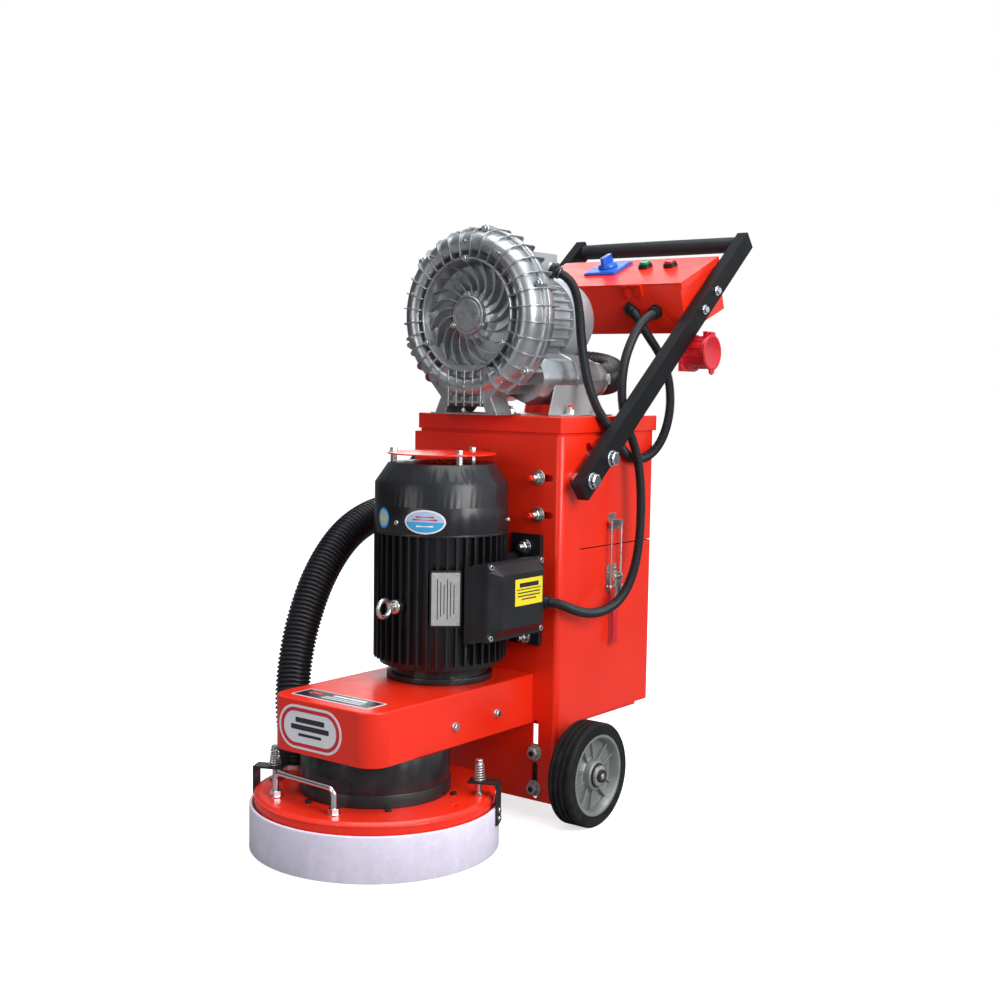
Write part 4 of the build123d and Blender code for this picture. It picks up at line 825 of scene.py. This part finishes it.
def drum_band():
    radius = DRUM[1].x
    inner, outer = radius - 1, radius + 1.6
    section = [(inner, 102), (outer, 102), (outer, 124), (radius + 1, 125), (inner, 125)]
    turned("drum_band", "black_paint", SPINDLE, section, 160, bevel=0.3)
    bolts = bmesh.new()
    for k in range(6):
        socket_screw(bolts, placed(polar(150, tau * (k + 0.35) / 6, COVER_TOP), Z), 6, 5)
    piece_from(bolts, "drum_screws", "black_paint", bevel=0.3)


drum_band()


def cover_bead():
    """Rolled edge of the cover disc."""
    radius = COVER[1].x
    section = [(radius - 3, 94.6), (radius + 0.6, 94.6), (radius + 1.2, 95.6), (radius + 0.4, 96.8),
               (radius - 3, 97.5)]
    turned("cover_bead", "red_paint", SPINDLE, section, 200)


cover_bead()


# ---------------------------------------------------------------- labels
BELT = box_mm("belt_housing")


def flat_shapes(name, material, where, thick, shapes, body="chassis"):
    """Thin flat shapes as one piece, each an outline with its shift along a matrix's X, Y and Z."""
    bm = bmesh.new()
    for outline, u, v, lift in shapes:
        prism(bm, where @ shift(u, v, lift), outline, thick)
    piece_from(bm, name, material, body)


def front_label():
    """Plain stadium label on the front of the belt housing, with bars in place of its print."""
    face = BELT[0].y
    middle = (BELT[0].z + BELT[1].z) / 2

    def onto(u, v, height):
        return Vector((u - 22, face - height, v + middle))

    def stadium(width, height):
        return rounded(width, height, height / 2 - 0.5, 14)

    patch("front_label_field", stadium(152, 78), onto, WHITE_LABEL, 0.4)
    bm = bmesh.new()
    where = placed((-22, face, middle), -Y, X)
    inner, outer = stadium(128, 56), stadium(142, 69)
    bridge(bm, [[bm.verts.new(where @ Vector((x, y, level))) for x, y in ring]
                for ring, level in ((inner, 0.2), (inner, 0.8), (outer, 0.8), (outer, 0.2))], closed=True)
    piece_from(bm, "front_label_ring", RED_LABEL)
    bars = [(rounded(width, height, 2), 0, v, 0.2)
            for width, height, v in ((70, 9, 13), (92, 9, 0), (56, 5, -13))]
    flat_shapes("front_label_bars", BLACK_LABEL, where, 0.6, bars)


def top_label():
    """Black strip near the front edge of the belt housing, with a turning-direction arrow."""
    where = placed((-4, BELT[0].y + 52, BELT[1].z), Z, X)
    flat_shapes("top_label_edge", WHITE_LABEL, where, 0.7, [(rounded(186, 52, 3), 0, 0, -0.3)])
    flat_shapes("top_label_field", BLACK_LABEL, where, 0.7, [(rounded(179, 45, 2), 0, 0, 0)])
    arrow = [(-62, -11), (-62, -5), (-42, -5), (-42, 5), (-62, 5), (-62, 11), (-78, 0)]
    flat_shapes("top_label_arrow", RED_LABEL, where, 0.8, [(arrow, 0, 4, 0.2)])
    flat_shapes("top_label_bars", WHITE_LABEL, where, 0.8, [
        (rounded(width, height, 1.5), u, v, 0.2)
        for width, height, u, v in ((78, 8, 20, 9), (96, 4, 18, -3), (96, 4, 18, -12))])


MOTOR = centre_mm("motor_cowl")
COWL_R = 127.0


def around_motor(angle, height, radius):
    """Function that lays (u, v) onto the motor's side."""
    def onto(u, v, lift):
        return Vector((MOTOR.x, MOTOR.y, 0)) + polar(radius + lift, angle + u / radius, height + v)
    return onto


def half_ellipse(width, height, upper, steps=24):
    sign = 1 if upper else -1
    angles = [pi * k / steps for k in range(steps + 1)]
    return [(width / 2 * cos(a), sign * height / 2 * sin(a)) for a in angles]


def cowl_labels():
    front = radians(-64)
    patch("cowl_label_edge", oval(39, 22, 48), around_motor(front, 586, COWL_R), WHITE_LABEL, 0.4)
    patch("cowl_label_upper", [(u, v + 0.01) for u, v in half_ellipse(71, 38, True)],
          around_motor(front, 586.2, COWL_R), PALE_LABEL, 0.65)
    patch("cowl_label_lower", half_ellipse(71, 38, False),
          around_motor(front, 585.8, COWL_R), BLUE_LABEL, 0.65)
    for k, (width, v) in enumerate(((34, 9), (46, 4), (32, -8))):
        patch(f"cowl_label_bar_{k}", rounded(width, 3.2, 1), around_motor(front, 586 + v, COWL_R),
              RED_LABEL if v > 0 else WHITE_LABEL, 0.9, 3)
    side = radians(-107)
    patch("cowl_spot_edge", oval(17, 19, 48), around_motor(side, 588, COWL_R), BLUE_LABEL, 0.4)
    patch("cowl_spot_field", oval(13.5, 15, 48), around_motor(side, 588, COWL_R), PALE_LABEL, 0.65)
    patch("cowl_spot_bar", rounded(17, 7, 1.5), around_motor(side, 588, COWL_R), YELLOW_LABEL, 0.9, 3)


def nameplate():
    angle = radians(-46)
    radius = 127.2
    out = polar(1, angle)
    centre = Vector((MOTOR.x, MOTOR.y, 446)) + out * radius
    where = placed(centre, out, polar(1, angle + pi / 2))
    bm = bmesh.new()
    prism(bm, where @ shift(0, 0, -7), rounded(58, 104, 4), 6.4)
    piece_from(bm, "nameplate_pad", "black_paint", bevel=0.8)
    bm = bmesh.new()
    prism(bm, where @ shift(0, 0, -0.8), rounded(52, 97, 1.5), 1.3)
    piece_from(bm, "nameplate_plate", PLATE_METAL, slot="silver_paint", bevel=0.2)
    flat_shapes("nameplate_rules", BLACK_LABEL, where, 0.35, [
        (rounded(1.6, 74 - 10 * (k % 3), 0.5), -15 + 6 * k, 0, 0.4) for k in range(6)])
    rivets = bmesh.new()
    for sx in SIDES:
        for sy in SIDES:
            spot = where @ shift(sx * 22, sy * 44, 0.3)
            lathe(rivets, spot, [(0, 0), (2.2, 0), (1.6, 1.0), (0, 1.3)], 16)
    piece_from(rivets, "nameplate_rivets", "zinc")


def box_label():
    """Plain yellow label on the terminal box's cover."""
    face = 190.0
    where = placed((face, 204, 459), X, Y)
    flat_shapes("box_label_field", YELLOW_LABEL, where, 0.7, [(rounded(84, 49, 1.5), 0, 0, -0.3)])
    flat_shapes("box_label_bars", BLACK_LABEL, where, 0.5, [
        (rounded(width, height, 0.6), 0, v, 0.2)
        for width, height, v in ((58, 8, 13), (74, 1.6, 5), (68, 2.2, -1), (68, 2.2, -7), (44, 2.2, -13))])


front_label()
top_label()
cowl_labels()
nameplate()
box_label()


# ---------------------------------------------------------------- drive motor
def lifting_eye():
    """Drop-forged eye bolt on the motor's front."""
    base = Vector((MOTOR.x, MOTOR.y - 130, centre_mm("lifting_eye").z))
    bm = bmesh.new()
    lathe(bm, placed(base, -Y), [(0, -4), (9, -4), (9, 0), (13, 0.4), (13.4, 2), (12.4, 3.8), (8, 5), (7, 9),
                                 (7.6, 13), (0, 13)], 40)
    centre = base - Y * 30
    line = [centre + (Y * cos(tau * k / 72) + Z * sin(tau * k / 72)) * 15.6 for k in range(72)]
    sweep(bm, line, [4.5 + 0.5 * cos(tau * k / 72) for k in range(72)], 20, closed=True)
    piece_from(bm, "lifting_eye_bolt", "zinc", smooth=50, replaces=("lifting_eye",))


lifting_eye()


def rain_cap():
    top = box_mm("motor_cowl")[1].z
    section = [(0, 706.2), (100, 704.2), (102.5, 703.6), (103, 704.6), (102.5, 706.2), (100, 706.6), (0, 709)]
    where = placed((MOTOR.x, MOTOR.y, 0), Z)
    turned("rain_cap_disc", "red_paint", where, section, 128, replaces=("rain_cap",))
    bm = bmesh.new()
    for angle in (radians(90), radians(210), radians(330)):
        spot = Vector((MOTOR.x, MOTOR.y, 0)) + polar(93, angle, top)
        lathe(bm, placed(spot, Z), [(0, 0), (6.4, 0), (6.4, 17.4), (0, 17.4)], 6)
        hex_bolt(bm, placed(spot + Z * 18.6, Z), 12.5, 6, washer=8.5)
    piece_from(bm, "rain_cap_bolts", "zinc", bevel=0.3)


rain_cap()


def motor_fixings():
    """Bracket nuts, terminal box screws and cowl screws."""
    bm = bmesh.new()
    for side in SIDES:
        for z in (352, 527):
            hex_bolt(bm, placed((side * 112, 297, z), -Y), 19.6, 10.4, washer=14, stud=9)
    for y, z in ((111, 381), (264, 381), (111, 509), (264, 509)):
        socket_screw(bm, placed((171.8, y, z), X), 5.4, 4.8)
    for angle in (radians(270), radians(30), radians(150)):
        out = polar(1, angle)
        socket_screw(bm, placed(Vector((MOTOR.x, MOTOR.y, 582)) + out * 126.6, out), 4.6, 3.6)
    piece_from(bm, "motor_fixings", "zinc", bevel=0.2)


motor_fixings()


# ---------------------------------------------------------------- chassis fasteners
FRAME_FRONT = box_mm("chassis_frame")[0].y


def stud_bolts():
    """Studs of the filter housing with their painted ends, and the belt housing's side bolts."""
    bm = bmesh.new()
    caps = bmesh.new()
    for side in SIDES:
        for level in (660, 589):
            where = placed((side * 134, FRAME_FRONT, level), -Y)
            hex_bolt(bm, where, 17, 9, washer=14.5, stud=12)
            cap = where @ shift(0, 0, 22)
            lathe(caps, cap, [(0, 0), (5.4, 0), (5.4, 8), (4.4, 9.4), (0, 9.4)], 20)
        for y, z in ((70, 220), (193, 223)):
            hex_bolt(bm, placed((side * BELT[1].x, y, z), X * side), 13, 5.5, washer=9)
    piece_from(bm, "chassis_studs", "zinc", bevel=0.25, replaces=("chassis_fasteners",))
    piece_from(caps, "stud_paint", "red_paint")


stud_bolts()


def carriage_bolts():
    bm = bmesh.new()
    for side in SIDES:
        for level in (126, 56):
            where = placed((side * 136, FRAME_FRONT - 1.0, level), -Y)
            hex_bolt(bm, where, 21.5, 10, washer=16)
    piece_from(bm, "carriage_bolts", DULL_ZINC, "carriage", "steel", bevel=0.3)


carriage_bolts()


# ---------------------------------------------------------------- wheels
AXLE_END = 269.2            # where the retaining collars start, from the machine's middle


def wheel_hub(side, name):
    """Cast hub: rim, dished web, five broad ribs and a bearing boss."""
    low, high = box_mm(f"{name}_hub")
    centre = (low + high) / 2
    half = (high.x - low.x) / 2
    where = placed(centre, X * side, Z)
    rim = (high.z - low.z) / 2
    bm = bmesh.new()
    face = [(13, half - 2), (26, half - 2), (28, half - 3.4), (31, 10), (37, 6), (60, 4.5), (rim - 12, 6),
            (rim - 8, half - 5), (rim - 5.5, half - 0.5), (rim, half)]
    back = [(r, -h) for r, h in face[::-1]]
    lathe(bm, where, face + back, 96)
    for k in range(5):
        arm = where @ Matrix.Rotation(tau * k / 5 + 0.3, 4, "Z")
        for flank in SIDES:
            base = arm @ shift(0, 0, 3 if flank > 0 else -8)
            prism(bm, base, [(27, -9), (68, -14), (68, 14), (27, 9)], 5)
            for spread in SIDES:
                rib = [(27, spread * 8), (68, spread * 13), (68, spread * 16.5), (27, spread * 11.5)]
                prism(bm, arm @ shift(0, 0, 3 if flank > 0 else -13), rib[::spread], 10)
    piece_from(bm, f"{name}_hub_cast", HUB_CAST, f"{name}_wheel", "cast_aluminium", bevel=0.8,
               replaces=(f"{name}_hub",))
    seal = [(12.6, half - 3), (23.5, half - 3), (23.5, half - 1.2), (12.6, half - 1.2)]
    turned(f"{name}_bearing_seal", "black_rubber", where, seal, 48, body=f"{name}_wheel")


def axle_end(side, name):
    """Retaining collar with its nut on the axle's end."""
    centre = centre_mm(f"{name}_tyre")
    where = placed((side * AXLE_END, centre.y, centre.z), X * side)
    section = [(0, 0), (20.4, 0), (20.4, 3.2), (18.5, 4.4), (9, 5.2), (8.6, 6), (7, 6.4), (6.4, 9.4),
               (4.6, 10.6), (0, 10.6)]
    turned(f"{name}_axle_end", "zinc", where, section, 48, body="carriage", bevel=0.2)


for wheel_side, wheel_name in ((-1, "left"), (1, "right")):
    wheel_hub(wheel_side, wheel_name)
    axle_end(wheel_side, wheel_name)


# ---------------------------------------------------------------- latches
LEVER_TOP = 455.0
LEVER_SIDE = 186.0          # distances from the machine's middle
HOUSING_SIDE = 172.0
BIN_SIDE = 174.4
LATCH_Y = 506.0


def latch_lever(side, name):
    """Bent sheet lever with a dipped red handle that ends in a fork."""
    low, high = box_mm(f"{name}_latch_lever")
    y = (low.y + high.y) / 2
    pin = Vector(JOINTS[f"{name}_loop_turn"]["pos_m"]) / MM
    x = side * LEVER_SIDE
    bm = bmesh.new()
    for flank in SIDES:
        outline = [(-7, 6), (7, 6), (7, -6), (5, -30), (1, -60), (-2, -60), (-7, -24)]
        where = placed((x, y + flank * 9.4, LEVER_TOP), Y, X * side)
        points = [(u, -side * v) for u, v in outline]
        prism(bm, where @ shift(0, 0, -0.9), points, 1.8)
    prism(bm, placed((x - side * 1.0, y, LEVER_TOP - 60), Z, Y), rounded(20, 5, 1), 52, 1.0)
    piece_from(bm, f"{name}_lever_sheet", "zinc", f"{name}_lever", bevel=0.4,
               replaces=(f"{name}_latch_lever",))
    handle = bmesh.new()
    stations = ((56, 8.0, 3.0), (58, 9.8, 4.0), (80, 9.4, 4.4), (112, 8.2, 4.2), (124, 8.6, 4.0),
                (131, 11.6, 3.4), (134.6, 11.0, 2.6))
    tube(handle, [[handle.verts.new((x - side + u, y + v, LEVER_TOP - down)) for u, v in oval(half_x, half_y)]
                  for down, half_y, half_x in stations])
    piece_from(handle, f"{name}_lever_grip", "red_plastic", f"{name}_lever", smooth=60)
    nuts = bmesh.new()
    for flank in SIDES:
        hex_bolt(nuts, placed((pin.x, y + flank * 18, pin.z), Y * flank), 7, 4)
    piece_from(nuts, f"{name}_loop_nuts", "zinc", f"{name}_loop", bevel=0.2)
    strap = bmesh.new()
    prism(strap, placed((side * 182.4, y, 563.5), X * side), rounded(42, 13, 3), 3.6)
    piece_from(strap, f"{name}_loop_strap", "zinc", f"{name}_loop", bevel=0.5)
    hook = bmesh.new()
    for low_z, high_z, reach in ((547, 582, 2.2), (550.6, 562.4, 9.8)):
        brick(hook, (side * HOUSING_SIDE, y - 13.4, low_z), (side * (HOUSING_SIDE + reach), y + 13.4, high_z))
    piece_from(hook, f"{name}_keeper_hook", "zinc", bevel=0.6)


def latch_rivets(side, name):
    bm = bmesh.new()
    for dy in (-13, 13):
        for dz in (434, 470):
            where = placed((side * BIN_SIDE, LATCH_Y + dy, dz), X * side)
            lathe(bm, where, [(0, 0), (3.4, 0), (2.8, 1.2), (1.4, 1.8), (0, 1.9)], 20)
    piece_from(bm, f"{name}_latch_rivets", "zinc", "bin")


for latch_side, latch_name in ((-1, "left"), (1, "right")):
    latch_lever(latch_side, latch_name)
    latch_rivets(latch_side, latch_name)


# ---------------------------------------------------------------- control panel
NORMAL = -Vector(JOINTS["start_press"]["axis"]).normalized()
UP_SLOPE = Vector((0, NORMAL.z, -NORMAL.y))
SWITCH = Vector(JOINTS["switch_turn"]["pos_m"]) / MM - NORMAL * 20
PANEL_TOP = 2.4
BUTTON_UP = 5.0             # buttons, up the slope from the switch


def on_panel(x, up, height):
    """Place on the panel, measured from the switch, with local Z along its normal."""
    origin = SWITCH + UP_SLOPE * up + NORMAL * height
    origin.x = x
    return placed(origin, NORMAL, X)


def switch_plate():
    bm = bmesh.new()
    prism(bm, on_panel(SWITCH.x, 0, PANEL_TOP), rounded(84, 82, 5), 4.4)
    prism(bm, on_panel(SWITCH.x, 0, PANEL_TOP + 4), rounded(78, 76, 4), 2.0)
    piece_from(bm, "switch_plate", "blue_plastic", "panel", bevel=0.7, replaces=("panel_fittings",))
    marks = bmesh.new()
    for angle in (0.0, pi / 2):
        where = on_panel(SWITCH.x, 0, PANEL_TOP + 5.9) @ Matrix.Rotation(angle, 4, "Z")
        prism(marks, where @ shift(0, 31, 0), rounded(2.6, 8, 0.8), 0.5)
    piece_from(marks, "switch_marks", WHITE_LABEL, "panel")


def contact_blocks():
    """Switch and contact blocks that show under the open panel."""
    bm = bmesh.new()
    prism(bm, on_panel(SWITCH.x, 0, -40), rounded(50, 50, 3), 40)
    prism(bm, on_panel(SWITCH.x, 0, -58), rounded(42, 46, 3), 18)
    for x in (centre_mm("start_button").x, centre_mm("stop_button").x):
        prism(bm, on_panel(x, BUTTON_UP, -34), rounded(28, 28, 2), 20)
        lathe(bm, on_panel(x, BUTTON_UP, -13), [(12, 0), (15, 0), (15, 12.6), (12, 12.6)], 40)
    piece_from(bm, "contact_blocks", "black_plastic", "panel", bevel=0.6)


def knob():
    bm = bmesh.new()
    where = on_panel(SWITCH.x, 0, PANEL_TOP + 6.3)
    lathe(bm, where, [(0, 0), (21, 0), (21.6, 1), (21, 4), (19, 7.4), (16, 8.6), (0, 8.6)], 64)
    prism(bm, where @ shift(0, 0, 8), rounded(13, 41, 5.5, 8), 17, 0.9)
    lathe(bm, on_panel(SWITCH.x, 0, -10), [(0, 0), (4, 0), (4, 18), (0, 18)], 24)
    piece_from(bm, "switch_knob_moulded", "blue_plastic", "switch_knob", bevel=1.2, replaces=("main_switch",))
    mark = bmesh.new()
    prism(mark, where @ shift(0, 13, 24.8), rounded(2.4, 8, 0.8), 0.5)
    piece_from(mark, "switch_pointer", WHITE_LABEL, "switch_knob")


def button(node, body, finish):
    """Round cap with its stem, and the collar it moves in."""
    x = centre_mm(node).x
    bm = bmesh.new()
    where = on_panel(x, BUTTON_UP, 0)
    lathe(bm, where, [(0, 0.5), (11, 0.5), (11, 14.6), (10.4, 15.8), (9, 16.4), (6, 16.0), (0, 15.6)], 48)
    lathe(bm, where, [(0, -14), (5, -14), (5, 1), (0, 1)], 24)
    piece_from(bm, node + "_cap", finish, body, smooth=30, replaces=(node,))
    collar = [(11.4, 2.4), (16, 2.4), (16, 5.2), (15, 6.4), (14.6, 10.4), (13.8, 11.4), (12, 11.6),
              (11.4, 11.0)]
    turned(node + "_collar", "black_plastic", where, collar, 48, body="panel", smooth=30)


switch_plate()
contact_blocks()
knob()
button("start_button", "start_cap", "green_plastic")
button("stop_button", "stop_cap", "red_plastic")


def power_inlet():
    """Moulded inlet with a flange, ribs round the barrel, brass pins and a screw in each corner."""
    hinge = Vector(JOINTS["cap_open"]["pos_m"]) / MM
    centre = Vector((box_mm("power_inlet")[0].x, hinge.y, hinge.z - 40))
    where = placed(centre, X, Y)
    bm = bmesh.new()
    prism(bm, where, rounded(76, 76, 8), 3.6)
    lathe(bm, where, [(30.2, 16), (30.2, 51.8), (34, 51.8), (34.6, 50.6), (34.6, 46), (33.6, 45), (33, 20),
                      (34.4, 12), (36, 3), (0, 3), (0, 15.6), (30.2, 15.6)], 80)
    for k in range(12):
        rib = where @ Matrix.Rotation(tau * (k + 0.5) / 12, 4, "Z")
        prism(bm, rib @ shift(33.6, 0, 5), [(-1, -1.2), (1.6, -0.9), (1.6, 0.9), (-1, 1.2)], 38)
    for flank in SIDES:
        y = centre.y + flank * 12
        brick(bm, (hinge.x - 6, y - 2, centre.z + 32), (hinge.x + 4, y + 2, centre.z + 44))
    piece_from(bm, "inlet_body", "red_plastic", "handle", bevel=0.5, replaces=("power_inlet",))
    pins = bmesh.new()
    for k in range(5):
        spot = where @ shift(*polar(18, tau * k / 5, 14))
        lathe(pins, spot, [(0, 0), (3, 0), (3, 30), (2.2, 32), (0, 32)], 20)
    lathe(pins, placed((hinge.x, hinge.y - 14, hinge.z), Y), [(0, 0), (1.5, 0), (1.5, 28), (0, 28)], 16)
    piece_from(pins, "inlet_pins", BRASS, "handle", "zinc")
    screws = bmesh.new()
    for sx in SIDES:
        for sy in SIDES:
            socket_screw(screws, where @ shift(sx * 31, sy * 31, 3.4), 3.6, 1.4)
    piece_from(screws, "inlet_screws", "zinc", "handle")


def inlet_cap():
    """Domed cap with a ribbed rim, hinge barrel and lift lug."""
    low, high = box_mm("inlet_cap")
    hinge = Vector(JOINTS["cap_open"]["pos_m"]) / MM
    centre = Vector((high.x - 5, hinge.y, hinge.z - 40))
    where = placed(centre, X, Y)
    bm = bmesh.new()
    lathe(bm, where, [(0, 0.1), (36, 0.1), (37.4, 0.6), (37.8, 2), (37, 4.2), (34.5, 5), (31, 4.6), (29, 3.6),
                      (0, 3.9)], 96)
    for y in (-9.5, 0):
        y += centre.y
        brick(bm, (hinge.x + 1.8, y, centre.z + 34), (high.x - 0.3, y + 9.5, centre.z + 42))
    lathe(bm, placed((hinge.x, hinge.y - 9.5, hinge.z), Y), [(1.6, 0), (3.4, 0), (3.4, 19), (1.6, 19)], 28)
    outline = [(-10, -33), (-8, -43), (0, -46.5), (8, -43), (10, -33)]
    prism(bm, where @ shift(0, 0, 0.3), outline, 4.2)
    piece_from(bm, "inlet_cap_moulded", "red_plastic", "socket_cap", bevel=0.5, replaces=("inlet_cap",))


power_inlet()
inlet_cap()


# ---------------------------------------------------------------- handle
ARM_TILT = radians(39.78)
ARM_ALONG = Vector((0, cos(ARM_TILT), sin(ARM_TILT)))
ARM_START = Vector((0, 327.4, 635.9))       # middle of the arms' lower ends
ARM_LENGTH = 818.6
ARM_MIDDLE = 214.5          # distances from the machine's middle
ARM_OUTER = 227.0


def grip():
    """Foam grip between the arms, a little swollen in the middle, with end rings."""
    low, high = box_mm("grip")
    centre = (low + high) / 2
    half = (high.x - low.x) / 2
    radius = (high.z - low.z) / 2
    profile = [(0, -half), (radius, -half)]
    count = 24
    for k in range(count + 1):
        share = k / count
        along = -half + 3 + (2 * half - 6) * share
        profile.append((radius - 0.6 + 0.7 * sin(pi * share) ** 0.5, along))
    profile += [(radius, half), (0, half)]
    turned("foam_grip", "black_rubber", placed(centre, X), profile, body="handle", replaces=("grip",))


def arm_plugs():
    """Plastic plugs in the open ends of the arms."""
    bm = bmesh.new()
    for side in SIDES:
        for end, out in ((ARM_START, -ARM_ALONG), (ARM_START + ARM_ALONG * ARM_LENGTH, ARM_ALONG)):
            origin = end + X * side * ARM_MIDDLE
            prism(bm, placed(origin, out, X), rounded(24.4, 39.4, 2), 2.2, 0.94)
            prism(bm, placed(origin, -out, X), rounded(19.6, 34.6, 1.5), 12)
    piece_from(bm, "arm_plugs", "black_plastic", "handle", bevel=0.4)


def arm_bolts():
    """Washers and nuts over the handle's bolts."""
    pivot = Vector(JOINTS["handle_tilt"]["pos_m"]) / MM
    lock_angle, lock_reach = radians(31.7), 76.7
    lock = pivot + Vector((0, cos(lock_angle), sin(lock_angle))) * lock_reach
    bm = bmesh.new()
    for side in SIDES:
        for spot in (pivot, lock):
            where = placed((side * ARM_OUTER, spot.y, spot.z), X * side)
            hex_bolt(bm, where, 24.4, 9.4, washer=16)
        for along in (566, 632):
            spot = ARM_START + ARM_ALONG * along
            where = placed((side * ARM_OUTER, spot.y, spot.z), X * side)
            hex_bolt(bm, where, 13.4, 5.8, washer=10.5)
    piece_from(bm, "arm_bolts", "chrome_bar", "handle", bevel=0.3)


grip()
arm_plugs()
arm_bolts()


# ---------------------------------------------------------------- filters
def pleated_filters():
    low, high = box_mm("filter_cartridges")
    bm = bmesh.new()
    for y in (404, 569):
        count = 72
        outline = []
        for k in range(count * 2):
            radius = 65.5 if k % 2 else 58
            angle = tau * k / (count * 2)
            outline.append((radius * cos(angle), radius * sin(angle)))
        prism(bm, placed((0, y, low.z + 5), Z), outline, high.z - low.z - 12)
        lathe(bm, placed((0, y, low.z), Z), [(0, 0), (66, 0), (66, 6), (0, 6)], 64)
    piece_from(bm, "pleated_filters", "filter_cloth", replaces=("filter_cartridges",))


pleated_filters()


# ---------------------------------------------------------------- studio
def studio():
    scene = bpy.context.scene
    scene.view_settings.view_transform = "Standard"
    bm = bmesh.new()
    bmesh.ops.create_circle(bm, cap_ends=True, radius=30, segments=96)
    mesh = bpy.data.meshes.new("floor")
    bm.to_mesh(mesh)
    bm.free()
    floor = bpy.data.objects.new("floor", mesh)
    scene.collection.objects.link(floor)
    material = bpy.data.materials.new("studio_floor")
    material.use_nodes = True
    tree = material.node_tree
    shader = tree.nodes["Principled BSDF"]
    seen = tree.nodes.new("ShaderNodeLightPath").outputs["Is Camera Ray"]
    link(tree, mixed(tree, seen, (0.26, 0.26, 0.27), (0.80, 0.80, 0.80)), shader.inputs["Base Color"])
    link(tree, ranged(tree, seen, 0.0, 1.0, 0.0, 0.64), shader.inputs["Emission Strength"])
    shader.inputs["Emission Color"].default_value = (1, 1, 1, 1)
    shader.inputs["Roughness"].default_value = 0.6
    shader.inputs["Specular IOR Level"].default_value = 0.0
    mesh.materials.append(material)

    world = bpy.data.worlds.new("studio")
    world.use_nodes = True
    scene.world = world
    tree = world.node_tree
    background = tree.nodes["Background"]
    direction = tree.nodes.new("ShaderNodeTexCoord").outputs["Generated"]
    slope = tree.nodes.new("ShaderNodeVectorMath")
    slope.operation = "DOT_PRODUCT"
    slope.inputs[1].default_value = (0.38, 0.22, 0.40)
    link(tree, direction, slope.inputs[0])
    glow = ranged(tree, slope.outputs["Value"], -0.34, 0.55, 0.04, 0.95)
    height = tree.nodes.new("ShaderNodeSeparateXYZ")
    link(tree, direction, height.inputs["Vector"])
    sky = mixed(tree, ranged(tree, height.outputs["Z"], 0.0, 0.8), (1.0, 1.0, 1.0), (0.76, 0.89, 1.0))
    seen = tree.nodes.new("ShaderNodeLightPath").outputs["Is Camera Ray"]
    link(tree, mixed(tree, seen, sky, (1.0, 1.0, 1.0)), background.inputs["Color"])
    strength = tree.nodes.new("ShaderNodeMix")
    link(tree, seen, strength.inputs["Factor"])
    link(tree, glow, strength.inputs["A"])
    strength.inputs["B"].default_value = 1.0
    link(tree, strength.outputs["Result"], background.inputs["Strength"])

    lamps = (("key", (2.8, -0.3, 1.7), 1.6, 64), ("top", (0.3, 0.4, 3.2), 2.2, 60),
             ("front", (-0.6, -3.0, 1.3), 1.4, 16), ("rear", (-1.6, 2.6, 1.8), 1.4, 20))
    for name, place, size, power in lamps:
        data = bpy.data.lights.new(name, "AREA")
        data.shape = "SQUARE"
        data.size = size
        data.energy = power
        lamp = bpy.data.objects.new(name, data)
        scene.collection.objects.link(lamp)
        lamp.location = place
        lamp.rotation_euler = (Vector((0, 0.25, 0.55)) - Vector(place)).to_track_quat("-Z", "Y").to_euler()


studio()
